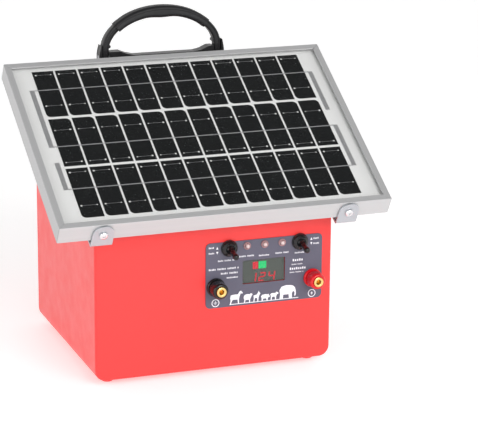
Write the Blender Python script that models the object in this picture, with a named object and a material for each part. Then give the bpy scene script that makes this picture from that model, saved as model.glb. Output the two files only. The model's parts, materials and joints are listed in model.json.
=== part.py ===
"""Solar fence energizer: a steel box with a tilted solar panel, front controls and a folding handle.

Metres, +Z up, front towards -Y. Lengths along the box are measured from its front face, through the empty
"box_frame"; lengths on the solar panel are measured up its slope, through the empty "panel_frame".
"""
import math

import bmesh
import bpy
from mathutils import Matrix, Vector

# Box
BOX_WIDTH = 0.255
BOX_DEPTH = 0.220
FRONT_FACE_Y = -0.08865
FOOT_HEIGHT = 0.006
DECK_HEIGHT = 0.285
RISER_Y = 0.1785
BEND_RADIUS = 0.0113
FRONT_RADIUS = 0.0025
WALL = 0.0015
COVER = 0.0012
GAP = 0.0003
REAR_FLANGE = 0.014
JACK_PLACE = (-0.085, BOX_DEPTH, 0.060)
JACK_THREAD = 0.0055

# Solar panel: its top front edge, its slope and its own sizes
PANEL_FRONT_Y = -0.0430
PANEL_FRONT_Z = 0.1839
PANEL_TILT = math.radians(30)
PANEL_WIDTH = 0.350
PANEL_LENGTH = 0.240
PANEL_HEIGHT = 0.020
FRAME_WALL = 0.0014
FRAME_LIP = 0.007
FRAME_FOOT = 0.012
GLASS = 0.0032
BACKSHEET = 0.0005

# Straps that carry the panel
STRAP_X = 0.1295
STRAP_WIDTH = 0.022
STRAP_STEEL = 0.002
STRAP_DEPTH = 0.0285
STRAP_BEND = 0.003
SCREW_DROP = 0.012
SCREW_RADIUS = 0.002

# Front controls, all about the middle of the label plate
CONTROLS_X = 0.053
PLATE_WIDTH = 0.1272
PLATE_BOTTOM = 0.072
PLATE_TOP = 0.1414
PLATE_THICK = 0.0008
PLATE_CORNER = 0.005
TOGGLE_OFFSET = 0.0386
TOGGLE_Z = 0.1348
TOGGLE_REST = math.radians(13.5)
TOGGLE_PIVOT_Y = -0.0035
TOGGLE_BALL = 0.0050
LED_PITCH = 0.0191
LED_Z = 0.1355
WINDOW = (0.0294, 0.0944, 0.0758, 0.1196)
POST_OFFSET = 0.0529
POST_Z = 0.0946
BUSH_RADIUS = 0.0098
KNOB_RADIUS = 0.0086
POST_REACH = 0.0205

# Handle
HANDLE_X = 0.0033
HANDLE_Y = 0.187
HANDLE_PIVOT_Z = 0.300
HANDLE_HALF = 0.0629
HANDLE_CENTRE_Z = 0.3066
HANDLE_RISE = 0.0404
HANDLE_BASE_DEPTH = 0.012
GRIP_START = 37.0
CHEEK_OUTER = 0.0698
CHEEK_INNER = 0.0669
SHOULDER = 0.0583

SIDES = 24
SMALL_SIDES = 16


def clear_scene():
    """Removes every object and mesh that is already in the file."""
    for old in list(bpy.data.objects):
        bpy.data.objects.remove(old, do_unlink=True)
    for mesh in list(bpy.data.meshes):
        bpy.data.meshes.remove(mesh)


def look(name, colour, roughness, metallic=0.0, alpha=1.0):
    """A Principled BSDF material."""
    made = bpy.data.materials.new(name)
    made.use_nodes = True
    shader = made.node_tree.nodes["Principled BSDF"]
    shader.inputs["Base Color"].default_value = (*colour, 1.0)
    shader.inputs["Roughness"].default_value = roughness
    shader.inputs["Metallic"].default_value = metallic
    shader.inputs["Alpha"].default_value = alpha
    return made


def frame(name, place, parent=None, tilt=0.0):
    """An empty that other pieces hang from, turned about X by tilt."""
    empty = bpy.data.objects.new(name, None)
    bpy.context.scene.collection.objects.link(empty)
    empty.location = place
    empty.rotation_euler = (tilt, 0.0, 0.0)
    empty.parent = parent
    return empty


def finish(name, bm, parent, surface=None, place=(0.0, 0.0, 0.0)):
    """Closes a bmesh into a named object, with its faces turned outwards."""
    bmesh.ops.recalc_face_normals(bm, faces=bm.faces)
    mesh = bpy.data.meshes.new(name)
    bm.to_mesh(mesh)
    bm.free()
    mesh.shade_smooth()
    mesh.set_sharp_from_angle(angle=math.radians(35))
    made = bpy.data.objects.new(name, mesh)
    bpy.context.scene.collection.objects.link(made)
    made.location = place
    made.parent = parent
    if surface is not None:
        mesh.materials.append(surface)
    return made


def cutter(name, bm, parent, place=(0.0, 0.0, 0.0)):
    """A guide solid that only shapes other pieces."""
    made = finish(name, bm, parent, place=place)
    made.hide_render = True
    made.display_type = "WIRE"
    return made


def combine(target, tool, operation="DIFFERENCE"):
    """Cuts or joins target with tool."""
    change = target.modifiers.new(tool.name, "BOOLEAN")
    change.operation = operation
    change.solver = "EXACT"
    change.object = tool


def add_box(bm, low, high):
    """A box between two corners."""
    size = Vector(high) - Vector(low)
    middle = (Vector(high) + Vector(low)) / 2
    matrix = Matrix.Translation(middle) @ Matrix.Diagonal((*size, 1.0))
    bmesh.ops.create_cube(bm, size=1.0, matrix=matrix)


def add_loft(bm, rings, closed=False):
    """Joins rings of equal length with faces; the two end rings are filled unless the loft is closed."""
    made = [[bm.verts.new(point) for point in ring] for ring in rings]
    pairs = list(zip(made, made[1:]))
    if closed:
        pairs.append((made[-1], made[0]))
    for one, two in pairs:
        for i in range(len(one)):
            j = (i + 1) % len(one)
            bm.faces.new((one[i], one[j], two[j], two[i]))
    if not closed:
        bm.faces.new(made[0])
        bm.faces.new(made[-1])


def add_prism(bm, outline, axis, start, end):
    """Extrudes a flat outline along axis; the outline lies in the other two axes, in X, Y, Z order."""

    def raised(point, height):
        coordinates = list(point)
        coordinates.insert("XYZ".index(axis), height)
        return coordinates

    add_loft(bm, [[raised(point, height) for point in outline] for height in (start, end)])


def add_turned(bm, profile, centre, axis="Y", sides=SIDES, ring=False):
    """Turns (radius, height) points about an axis through centre; ring=True closes the profile on itself."""
    rows = []
    for radius, height in profile:
        if radius == 0.0:
            rows.append([bm.verts.new(turned_point(0.0, 0.0, height, centre, axis))])
            continue
        angles = [math.tau * k / sides for k in range(sides)]
        rows.append([bm.verts.new(turned_point(radius, a, height, centre, axis)) for a in angles])
    pairs = list(zip(rows, rows[1:]))
    if ring:
        pairs.append((rows[-1], rows[0]))
    for one, two in pairs:
        join_rows(bm, one, two, sides)
    if not ring:
        for row in (rows[0], rows[-1]):
            if len(row) > 1:
                bm.faces.new(row)


def turned_point(radius, angle, height, centre, axis):
    """A point at radius and angle round an axis, height along it from centre."""
    a, b = radius * math.cos(angle), radius * math.sin(angle)
    offset = {"X": (height, a, b), "Y": (b, height, a), "Z": (a, b, height)}[axis]
    return Vector(centre) + Vector(offset)


def join_rows(bm, one, two, sides):
    """Faces between two rows of a turned shape, either of which may be a single point."""
    for i in range(sides):
        j = (i + 1) % sides
        if len(one) == 1:
            bm.faces.new((one[0], two[j], two[i]))
        elif len(two) == 1:
            bm.faces.new((one[i], one[j], two[0]))
        else:
            bm.faces.new((one[i], one[j], two[j], two[i]))


def arc(centre, radius, start, end, steps):
    """Points on an arc, angles in degrees."""
    angles = [math.radians(start + (end - start) * k / steps) for k in range(steps + 1)]
    return [(centre[0] + radius * math.cos(a), centre[1] + radius * math.sin(a)) for a in angles]


def rounded_rectangle(left, bottom, right, top, radius, steps=5):
    """An outline with four round corners."""
    corners = (
        (right - radius, bottom + radius, 270),
        (right - radius, top - radius, 0),
        (left + radius, top - radius, 90),
        (left + radius, bottom + radius, 180),
    )
    outline = []
    for x, z, start in corners:
        outline += arc((x, z), radius, start, start + 90, steps)
    return outline


def box_section(inset, top):
    """The box seen from the front: square at the top, with the two lower bends."""
    half = BOX_WIDTH / 2 - inset
    bottom = FOOT_HEIGHT + inset
    radius = BEND_RADIUS - inset
    return [
        *arc((-half + radius, bottom + radius), radius, 180, 270, 6),
        *arc((half - radius, bottom + radius), radius, 270, 360, 6),
        (half, top),
        (-half, top),
    ]


def slope_z(y, depth):
    """Height at y of the plane that lies depth below the panel's top surface."""
    rise = (y - PANEL_FRONT_Y) * math.tan(PANEL_TILT)
    return PANEL_FRONT_Z + rise - depth / math.cos(PANEL_TILT)


def build_housing(box, paint):
    """Welded shell: floor, two sides and front in one skin, open at the top and at the back."""
    bm = bmesh.new()
    tall = DECK_HEIGHT + 0.01
    rings = []
    for angle in front_angles():
        inset, depth = 1 - math.sin(angle), 1 - math.cos(angle)
        rings.append(section_ring(FRONT_RADIUS * inset, tall, FRONT_RADIUS * depth))
    rings.append(section_ring(0.0, tall, BOX_DEPTH - WALL - GAP))
    add_loft(bm, rings)
    shell = finish("housing", bm, box, paint)
    combine(shell, housing_cavity(box))
    combine(shell, rear_opening(box))
    combine(shell, roof_cutter(box))
    return shell


def front_angles():
    """Steps round the small radius of the box's front edges."""
    return [math.radians(90 * k / 3) for k in range(4)]


def section_ring(inset, top, y):
    """The box's outer section at depth y."""
    return [(x, y, z) for x, z in box_section(inset, top)]


def housing_cavity(box):
    bm = bmesh.new()
    depth = BOX_DEPTH - 2 * WALL - GAP
    add_prism(bm, box_section(WALL, DECK_HEIGHT + 0.03), "Y", WALL, depth)
    return cutter("housing_cavity", bm, box)


def rear_opening(box):
    """The opening left between the return flanges that the rear cover screws to."""
    bm = bmesh.new()
    half = BOX_WIDTH / 2 - REAR_FLANGE
    bottom = FOOT_HEIGHT + REAR_FLANGE
    outline = rounded_rectangle(-half, bottom, half, DECK_HEIGHT + 0.04, 0.004)
    add_prism(bm, outline, "Y", BOX_DEPTH - 0.02, BOX_DEPTH + 0.02)
    return cutter("rear_opening", bm, box)


def roof_cutter(box):
    """Everything above the housing's sloped walls and its flat rear part."""
    bm = bmesh.new()
    depth = STRAP_DEPTH + GAP + COVER + GAP
    step_y = RISER_Y + COVER + GAP
    deck = DECK_HEIGHT - COVER - GAP
    outline = [
        (-0.02, slope_z(-0.02, depth)),
        (step_y, slope_z(step_y, depth)),
        (step_y, deck),
        (BOX_DEPTH + 0.02, deck),
        (BOX_DEPTH + 0.02, deck + 0.08),
        (-0.02, deck + 0.08),
    ]
    add_prism(bm, outline, "X", -BOX_WIDTH, BOX_WIDTH)
    return cutter("roof_cutter", bm, box)


def build_top_cover(box, paint):
    """Bent lid: the slope under the panel, a short riser, the deck behind it, and two side flanges."""
    outer = STRAP_DEPTH + GAP
    under = outer + COVER
    inner_y = RISER_Y + COVER
    outline = [
        (0.0, slope_z(0.0, outer)),
        (RISER_Y, slope_z(RISER_Y, outer)),
        (RISER_Y, DECK_HEIGHT),
        (BOX_DEPTH, DECK_HEIGHT),
        (BOX_DEPTH, DECK_HEIGHT - COVER),
        (inner_y, DECK_HEIGHT - COVER),
        (inner_y, slope_z(inner_y, under)),
        (0.0, slope_z(0.0, under)),
    ]
    bm = bmesh.new()
    add_prism(bm, outline, "X", -BOX_WIDTH / 2, BOX_WIDTH / 2)
    cover = finish("top_cover", bm, box, paint)
    for name, side in (("left", -1), ("right", 1)):
        combine(cover, cover_flange(box, name, side, under), "UNION")
    grommet_hole = bmesh.new()
    add_turned(grommet_hole, [(0.0062, -0.01), (0.0062, 0.01)], (0.0, 0.0, 0.0), "Z", SMALL_SIDES)
    hole = cutter("grommet_hole", grommet_hole, box, grommet_place(outer))
    hole.rotation_euler = (PANEL_TILT, 0.0, 0.0)
    combine(cover, hole)
    return cover


def grommet_place(depth):
    """Where the panel's lead passes through the slope."""
    y = 0.130
    return (0.0, y, slope_z(y, depth))


def cover_flange(box, name, side, under):
    """One side flange of the lid, 10 mm deep, just inside the side wall."""
    drop = 0.010
    front, rear = 0.004, BOX_DEPTH - WALL - 2 * GAP - 0.004
    overlap = COVER / 2
    outline = [
        (front, slope_z(front, under - overlap)),
        (RISER_Y + COVER, slope_z(RISER_Y + COVER, under - overlap)),
        (RISER_Y + COVER, DECK_HEIGHT - COVER + overlap),
        (rear, DECK_HEIGHT - COVER + overlap),
        (rear, DECK_HEIGHT - COVER - drop),
        (RISER_Y + COVER, slope_z(RISER_Y + COVER, under + drop)),
        (front, slope_z(front, under + drop)),
    ]
    bm = bmesh.new()
    outer = side * (BOX_WIDTH / 2 - WALL - GAP)
    inner = outer - side * COVER
    add_prism(bm, outline, "X", min(outer, inner), max(outer, inner))
    return cutter(f"cover_flange_{name}", bm, box)


def build_rear_cover(box, paint):
    """Flat rear cover with the charging socket's hole."""
    bm = bmesh.new()
    top = DECK_HEIGHT - COVER - GAP
    add_prism(bm, box_section(0.0, top), "Y", BOX_DEPTH - WALL, BOX_DEPTH)
    cover = finish("rear_cover", bm, box, paint)
    bm = bmesh.new()
    add_turned(bm, [(JACK_THREAD + GAP, -0.01), (JACK_THREAD + GAP, 0.01)], JACK_PLACE, sides=SMALL_SIDES)
    combine(cover, cutter("jack_hole", bm, box))
    return cover


def build_jack(box, plastic):
    """Charging socket: a flanged tube in the rear cover, open at the back."""
    bm = bmesh.new()
    profile = [
        (0.0, -0.014),
        (0.0045, -0.014),
        (0.0045, -0.004),
        (JACK_THREAD, -0.004),
        (JACK_THREAD, GAP),
        (0.0075, GAP),
        (0.0075, 0.0016),
        (0.0070, 0.0020),
        (0.0032, 0.0020),
        (0.0032, -0.010),
        (0.0, -0.010),
    ]
    add_turned(bm, profile, JACK_PLACE, sides=SMALL_SIDES)
    finish("charging_jack", bm, box, plastic)


def build_feet(box, paint):
    """Four short feet pressed into the floor."""
    radius = 0.0065
    for name, x, y in (
        ("front_left", -0.1095, 0.020),
        ("front_right", 0.1095, 0.020),
        ("rear_left", -0.1095, 0.200),
        ("rear_right", 0.1095, 0.200),
    ):
        bm = bmesh.new()
        profile = [
            (0.0, 0.0),
            (radius - 0.0008, 0.0),
            (radius, 0.0008),
            (radius + 0.001, FOOT_HEIGHT - GAP),
            (0.0, FOOT_HEIGHT - GAP),
        ]
        add_turned(bm, profile, (x, y, 0.0), "Z", SMALL_SIDES)
        finish(f"foot_{name}", bm, box, paint)


def build_front_holes(box):
    """All holes that the controls need through the housing's front and the label plate."""
    bm = bmesh.new()
    bores = [(CONTROLS_X + s * TOGGLE_OFFSET, TOGGLE_Z, 0.0064) for s in (-1, 1)]
    bores += [(CONTROLS_X + k * LED_PITCH, LED_Z, 0.0033) for k in (-1, 0, 1)]
    bores += [(CONTROLS_X + s * POST_OFFSET, POST_Z, 0.0053) for s in (-1, 1)]
    for x, z, radius in bores:
        add_turned(bm, [(radius, -0.01), (radius, 0.01)], (x, 0.0, z), sides=SMALL_SIDES)
    left, bottom, right, top = WINDOW
    add_prism(bm, rounded_rectangle(left, bottom, right, top, 0.001, 2), "Y", -0.01, 0.01)
    return cutter("front_holes", bm, box)


def build_label_plate(box, surface, holes):
    bm = bmesh.new()
    half = PLATE_WIDTH / 2
    outline = rounded_rectangle(
        CONTROLS_X - half, PLATE_BOTTOM, CONTROLS_X + half, PLATE_TOP, PLATE_CORNER
    )
    add_prism(bm, outline, "Y", -GAP - PLATE_THICK, -GAP)
    plate = finish("label_plate", bm, box, surface)
    combine(plate, holes)


def build_meter(box, plastic, lens):
    """Voltmeter module behind the front wall and the window in front of it."""
    left, bottom, right, top = WINDOW
    bm = bmesh.new()
    outline = rounded_rectangle(left + GAP, bottom + GAP, right - GAP, top - GAP, 0.0008, 2)
    add_prism(bm, outline, "Y", -GAP - PLATE_THICK, 0.0004)
    finish("meter_window", bm, box, lens)
    bm = bmesh.new()
    add_box(bm, (left + 0.0005, 0.0007, bottom + 0.0005), (right - 0.0005, 0.014, top - 0.0005))
    finish("meter_module", bm, box, plastic)


def build_toggle(box, name, x, steel, rubber):
    """Toggle switch: body and bushing through the wall, rubber boot, and a ball-ended lever that tilts."""
    bm = bmesh.new()
    add_box(bm, (x - 0.009, 0.0021, TOGGLE_Z - 0.0145), (x + 0.009, 0.022, TOGGLE_Z + 0.0145))
    body = finish(f"toggle_body_{name}", bm, box, steel)
    bushing = bmesh.new()
    profile = [(0.0058, 0.004), (0.0058, -0.0015), (0.0049, -0.0015), (0.0030, 0.0030), (0.0, 0.0030)]
    add_turned(bushing, [(0.0, 0.004), *profile], (x, 0.0, TOGGLE_Z))
    combine(body, cutter(f"toggle_bushing_{name}", bushing, box), "UNION")
    pit = bmesh.new()
    add_turned(pit, [(0.0, 0.0045), (0.0030, 0.0045), (0.0030, 0.0), (0.0, 0.0)], (x, 0.0, TOGGLE_Z))
    combine(body, cutter(f"toggle_pit_{name}", pit, box))
    build_boot(box, name, x, rubber)
    build_lever(box, name, x, rubber)


def build_boot(box, name, x, rubber):
    """Rubber boot: a ring on the label plate whose mouth is a ball socket round the lever's root."""
    back = -GAP - PLATE_THICK - GAP
    seat = TOGGLE_BALL + GAP
    mouth = [(angle, TOGGLE_PIVOT_Y) for angle in (0, 18, 36)]
    inner = [
        (seat * math.cos(math.radians(a)), y - seat * math.sin(math.radians(a))) for a, y in mouth
    ]
    profile = [
        (0.0061, back),
        (0.0088, back),
        (0.0088, -0.0042),
        (0.0083, -0.0054),
        (0.0068, -0.0065),
        (0.0053, -0.0070),
        *reversed(inner),
        (0.0061, TOGGLE_PIVOT_Y + 0.001),
    ]
    bm = bmesh.new()
    add_turned(bm, profile, (x, 0.0, TOGGLE_Z), ring=True)
    finish(f"toggle_boot_{name}", bm, box, rubber)


def build_lever(box, name, x, rubber):
    """Lever in its rubber sleeve, turned down to rest; its origin is the tilt axis."""
    pivot = frame(f"toggle_pivot_{name}", (x, TOGGLE_PIVOT_Y, TOGGLE_Z), box, TOGGLE_REST)
    ball = [
        (TOGGLE_BALL * math.cos(math.radians(a)), -TOGGLE_BALL * math.sin(math.radians(a)))
        for a in (-20, 0, 20, 38, 55)
    ]
    profile = [
        (0.0, 0.0017),
        *ball,
        (0.0025, -0.0056),
        (0.0024, -0.0140),
        (0.0030, -0.0160),
        (0.0032, -0.0180),
        (0.0027, -0.0201),
        (0.0012, -0.0213),
        (0.0, -0.0215),
    ]
    bm = bmesh.new()
    add_turned(bm, profile, (0.0, 0.0, 0.0), sides=SMALL_SIDES)
    finish(f"toggle_lever_{name}", bm, pivot, rubber)


def build_led(box, name, x, metal, lens):
    """Indicator lamp: a collar through the wall and a domed lamp in it."""
    front = -GAP - PLATE_THICK - GAP
    bm = bmesh.new()
    profile = [
        (0.0030, 0.0060),
        (0.0030, front),
        (0.0040, front),
        (0.0040, front - 0.0008),
        (0.0036, front - 0.0013),
        (0.0028, front - 0.0013),
        (0.0026, front - 0.0008),
        (0.0026, 0.0060),
    ]
    add_turned(bm, profile, (x, 0.0, LED_Z), sides=SMALL_SIDES, ring=True)
    finish(f"led_collar_{name}", bm, box, metal)
    dome = [(0.0023 * x, front - 0.0016 - 0.0022 * y) for x, y in arc((0.0, 0.0), 1.0, 0, 72, 3)]
    bm = bmesh.new()
    lamp = [(0.0, 0.0070), (0.0023, 0.0070), *dome, (0.0, front - 0.0038)]
    add_turned(bm, lamp, (x, 0.0, LED_Z), sides=SMALL_SIDES)
    finish(f"led_lamp_{name}", bm, box, lens)


def build_post(box, name, x, plastic, brass):
    """Binding post: insulating bush, brass stud, clamping washer, and a screw knob round its brass insert."""
    front = -GAP - PLATE_THICK - GAP
    bush_front = front - 0.0032
    centre = (x, 0.0, POST_Z)
    bm = bmesh.new()
    bush = [
        (0.0025, 0.0050),
        (0.0050, 0.0050),
        (0.0050, front),
        (BUSH_RADIUS, front),
        (BUSH_RADIUS, bush_front + 0.0008),
        (BUSH_RADIUS - 0.0010, bush_front),
        (0.0025, bush_front),
    ]
    add_turned(bm, bush, centre, ring=True)
    finish(f"post_bush_{name}", bm, box, plastic)
    bm = bmesh.new()
    stud = [
        (0.0, 0.0130),
        (0.0020, 0.0130),
        (0.0020, 0.0085),
        (0.0048, 0.0085),
        (0.0048, 0.0053),
        (0.0020, 0.0053),
        (0.0020, -0.0100),
        (0.0, -0.0100),
    ]
    add_turned(bm, stud, centre, sides=SMALL_SIDES)
    finish(f"post_stud_{name}", bm, box, brass)
    washer_front = bush_front - GAP - 0.0010
    bm = bmesh.new()
    washer = [
        (0.0024, bush_front - GAP),
        (0.0062, bush_front - GAP),
        (0.0062, washer_front),
        (0.0024, washer_front),
    ]
    add_turned(bm, washer, centre, ring=True)
    finish(f"post_washer_{name}", bm, box, brass)
    build_knob(box, name, centre, washer_front - GAP, plastic, brass)


def build_knob(box, name, centre, back, plastic, brass):
    """The knob and its insert turn about the post's own axis."""
    axis = frame(f"post_axis_{name}", centre, box)
    insert_radius = 0.0052
    rim = -POST_REACH + 0.0016
    knob = [
        (insert_radius + GAP, back - 0.0012),
        (0.0046, back),
        (KNOB_RADIUS - 0.0010, back),
        (KNOB_RADIUS, back - 0.0008),
        (KNOB_RADIUS, back - 0.0060),
        (KNOB_RADIUS - 0.0008, rim + 0.0016),
        (KNOB_RADIUS - 0.0018, rim),
        (insert_radius + GAP, rim),
    ]
    bm = bmesh.new()
    add_turned(bm, knob, (0.0, 0.0, 0.0), ring=True)
    finish(f"post_knob_{name}", bm, axis, plastic)
    insert = [
        (0.0023, back - 0.0016),
        (insert_radius, back - 0.0016),
        (insert_radius, -POST_REACH + 0.0005),
        (insert_radius - 0.0005, -POST_REACH),
        (0.0029, -POST_REACH),
        (0.0023, -POST_REACH + 0.0006),
    ]
    bm = bmesh.new()
    add_turned(bm, insert, (0.0, 0.0, 0.0), ring=True)
    finish(f"post_insert_{name}", bm, axis, brass)


def rail_section():
    """Half-open aluminium profile as (inwards, height): wall, top lip, glass ledge and foot flange."""
    ledge = -(FRAME_WALL + 2 * GAP + GLASS + GAP + BACKSHEET + GAP)
    return [
        (0.0, 0.0),
        (0.0, -PANEL_HEIGHT),
        (FRAME_FOOT, -PANEL_HEIGHT),
        (FRAME_FOOT, -PANEL_HEIGHT + FRAME_WALL),
        (FRAME_WALL, -PANEL_HEIGHT + FRAME_WALL),
        (FRAME_WALL, ledge - FRAME_WALL),
        (FRAME_LIP, ledge - FRAME_WALL),
        (FRAME_LIP, ledge),
        (FRAME_WALL, ledge),
        (FRAME_WALL, -FRAME_WALL),
        (FRAME_LIP, -FRAME_WALL),
        (FRAME_LIP, 0.0),
    ]


def build_rail(panel, name, length, middle, turn, aluminium):
    """One mitred rail; along its own X, with its inside towards its own +Y."""
    half = length / 2 - GAP / 2
    rings = [[(side * (half - n), n, w) for n, w in rail_section()] for side in (-1, 1)]
    bm = bmesh.new()
    add_loft(bm, rings)
    rail = finish(f"frame_{name}", bm, panel, aluminium, place=middle)
    rail.rotation_euler = (0.0, 0.0, turn)
    return rail


def build_panel(panel, looks):
    """Aluminium frame, glass, cell sheet and junction box."""
    across, along = PANEL_WIDTH / 2, PANEL_LENGTH
    aluminium = looks["aluminium"]
    rails = {
        "front": build_rail(panel, "front", PANEL_WIDTH, (0.0, 0.0, 0.0), 0.0, aluminium),
        "rear": build_rail(panel, "rear", PANEL_WIDTH, (0.0, along, 0.0), math.pi, aluminium),
        "left": build_rail(panel, "left", along, (-across, along / 2, 0.0), -math.pi / 2, aluminium),
        "right": build_rail(panel, "right", along, (across, along / 2, 0.0), math.pi / 2, aluminium),
    }
    rim = FRAME_WALL + GAP
    top = -(FRAME_WALL + GAP)
    bm = bmesh.new()
    add_box(bm, (-across + rim, rim, top - GLASS), (across - rim, along - rim, top))
    finish("panel_glass", bm, panel, looks["glass"])
    sheet_top = top - GLASS - GAP
    bm = bmesh.new()
    add_box(bm, (-across + rim, rim, sheet_top - BACKSHEET), (across - rim, along - rim, sheet_top))
    finish("cell_sheet", bm, panel, looks["cells"])
    build_junction_box(panel, sheet_top - BACKSHEET - GAP, looks["black"])
    return rails


def build_junction_box(panel, top, plastic):
    """Shallow box under the cells, open where it meets the sheet, with a lead hole in its front wall."""
    half, low, high, depth, wall = 0.028, 0.160, 0.205, 0.012, 0.002
    bm = bmesh.new()
    add_prism(bm, rounded_rectangle(-half, low, half, high, 0.004, 3), "Z", top - depth, top)
    shell = finish("junction_box", bm, panel, plastic)
    bm = bmesh.new()
    hollow = rounded_rectangle(-half + wall, low + wall, half - wall, high - wall, 0.002, 2)
    add_prism(bm, hollow, "Z", top - depth + wall, top + wall)
    combine(shell, cutter("junction_hollow", bm, panel))
    bm = bmesh.new()
    add_turned(bm, [(0.003, -0.004), (0.003, 0.004)], (0.0, low, top - depth / 2), sides=16)
    combine(shell, cutter("junction_lead_hole", bm, panel))


def strap_path():
    """Centre line of a strap as (along, height, normal) stations with the distance run so far."""
    low = -STRAP_DEPTH + STRAP_STEEL / 2
    front = -GAP - STRAP_STEEL / 2
    rear = PANEL_LENGTH - FRAME_WALL - GAP - STRAP_STEEL / 2
    bend = STRAP_BEND - STRAP_STEEL / 2
    top_front = -0.0006
    top_rear = -0.0078
    path = [(front, top_front), (front, low + bend)]
    path += arc((front + bend, low + bend), bend, 180, 270, 5)[1:]
    path += [(PANEL_LENGTH / 2, low)]
    path += arc((rear - bend, low + bend), bend, 270, 360, 5)
    path += [(rear, top_rear)]
    return path


def strap_stations():
    """Evenly spaced extra stations near both rounded ends, each as (place, direction, half width)."""
    path = [Vector(point) for point in strap_path()]
    lengths = [(b - a).length for a, b in zip(path, path[1:])]
    total = sum(lengths)
    half = STRAP_WIDTH / 2
    round_off = [half * (1 - math.cos(math.radians(a))) for a in (8, 20, 32, 45, 58, 72, 90)]
    runs = sorted([*round_off, *running_sums(lengths), *[total - 0.5 * r for r in round_off]])
    stations = []
    for run in runs:
        place, direction = along_path(path, lengths, run)
        width = half_width(run, total, half)
        stations.append((place, direction, width))
    return stations


def running_sums(lengths):
    """Distances of a path's inner corners from its start."""
    sums, so_far = [], 0.0
    for length in lengths[:-1]:
        so_far += length
        sums.append(so_far)
    return sums


def along_path(path, lengths, run):
    """Point and mean direction at a distance along a polyline."""
    so_far = 0.0
    for k, length in enumerate(lengths):
        if run < so_far + length - 1e-9 or k == len(lengths) - 1:
            direction = (path[k + 1] - path[k]).normalized()
            place = path[k] + direction * (run - so_far)
            if abs(run - so_far) < 1e-7 and k > 0:
                before = (path[k] - path[k - 1]).normalized()
                direction = (before + direction).normalized()
            return place, direction
        so_far += length
    return path[-1], (path[-1] - path[-2]).normalized()


def half_width(run, total, half):
    """Half the strap's width: a half round at its front end, corners rounded off at its rear end."""
    if run < half:
        return math.sqrt(half**2 - (half - run) ** 2)
    left = 2 * (total - run)
    if left < half:
        return half * 0.5 + 0.5 * math.sqrt(half**2 - (half - left) ** 2)
    return half


def build_strap(panel, name, side, steel):
    """Galvanised strap under the panel, bent up in front of the front rail and inside the rear rail."""
    rings = []
    for place, direction, width in strap_stations():
        normal = Vector((-direction.y, direction.x)) * STRAP_STEEL / 2
        above, below = place + normal, place - normal
        rings.append([
            (-width, above.x, above.y),
            (width, above.x, above.y),
            (width, below.x, below.y),
            (-width, below.x, below.y),
        ])
    bm = bmesh.new()
    add_loft(bm, rings)
    return finish(f"strap_{name}", bm, panel, steel, place=(side * STRAP_X, 0.0, 0.0))


def build_straps(panel, rails, steel, screw_steel):
    """Two straps, their notches in the rear rail and the four screws that hold the frame."""
    for name, side in (("left", -1), ("right", 1)):
        strap = build_strap(panel, name, side, steel)
        x = side * STRAP_X
        bm = bmesh.new()
        reach = FRAME_WALL + 2 * GAP + STRAP_STEEL
        low = (x - STRAP_WIDTH / 2 - GAP, PANEL_LENGTH - reach, -PANEL_HEIGHT - 0.002)
        high = (x + STRAP_WIDTH / 2 + GAP, PANEL_LENGTH - FRAME_WALL, -PANEL_HEIGHT + 0.004)
        add_box(bm, low, high)
        combine(rails["rear"], cutter(f"strap_notch_{name}", bm, panel))
        for end, s, rail, outward in (("front", 0.0, "front", -1), ("rear", PANEL_LENGTH, "rear", 1)):
            bm = bmesh.new()
            radius = SCREW_RADIUS + GAP
            add_turned(bm, [(radius, -0.006), (radius, 0.006)], (x, s, -SCREW_DROP), sides=16)
            hole = cutter(f"screw_hole_{end}_{name}", bm, panel)
            combine(rails[rail], hole)
            combine(strap, hole)
            build_screw(panel, f"panel_screw_{end}_{name}", (x, s, -SCREW_DROP), outward, screw_steel)


def build_screw(panel, name, place, outward, steel):
    """Pan-head screw through strap and rail; outward is the head's side along the slope."""
    seat = STRAP_STEEL + 2 * GAP if outward < 0 else GAP
    tip = -0.0060
    profile = [
        (0.0, tip),
        (SCREW_RADIUS, tip),
        (SCREW_RADIUS, seat),
        (0.0044, seat),
        (0.0044, seat + 0.0010),
        (0.0036, seat + 0.0021),
        (0.0018, seat + 0.0026),
        (0.0, seat + 0.0026),
    ]
    bm = bmesh.new()
    add_turned(bm, [(r, outward * h) for r, h in profile], place, sides=12)
    finish(name, bm, panel, steel)


def build_grommet(box, rubber):
    """Rubber grommet for the panel's lead, round the edge of the hole in the slope."""
    lip, groove, bore = 0.0085, 0.0059, 0.0032
    top, under = GAP + 0.0018, -COVER - GAP - 0.0018
    profile = [
        (bore, under),
        (lip, under),
        (lip, -COVER - GAP),
        (groove, -COVER - GAP),
        (groove, GAP),
        (lip, GAP),
        (lip - 0.0012, top),
        (bore, top),
    ]
    bm = bmesh.new()
    add_turned(bm, profile, (0.0, 0.0, 0.0), "Z", SMALL_SIDES, ring=True)
    grommet = finish("lead_grommet", bm, box, rubber, place=grommet_place(STRAP_DEPTH + GAP))
    grommet.rotation_euler = (PANEL_TILT, 0.0, 0.0)


def arch_line(first, last, steps):
    """Part of the handle's centre line, half an ellipse: points in X and Z from its pivot, and outward directions."""
    centre = HANDLE_CENTRE_Z - HANDLE_PIVOT_Z
    line = []
    for x, z in arc((0.0, 0.0), 1.0, first, last, steps):
        point = Vector((HANDLE_HALF * x, centre + HANDLE_RISE * z))
        line.append((point, Vector((x / HANDLE_HALF, z / HANDLE_RISE)).normalized()))
    return line


def sweep_rings(line, section):
    """Carries a section of (outwards, depth) points along a line in the X, Z plane."""
    return [
        [(point.x + outward.x * n, depth, point.y + outward.y * n) for n, depth in section]
        for point, outward in line
    ]


def rounded_section(thick, deep, radius, steps=2):
    """A rounded rectangle centred on the path."""
    return rounded_rectangle(-thick / 2, -deep / 2, thick / 2, deep / 2, radius, steps)


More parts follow.
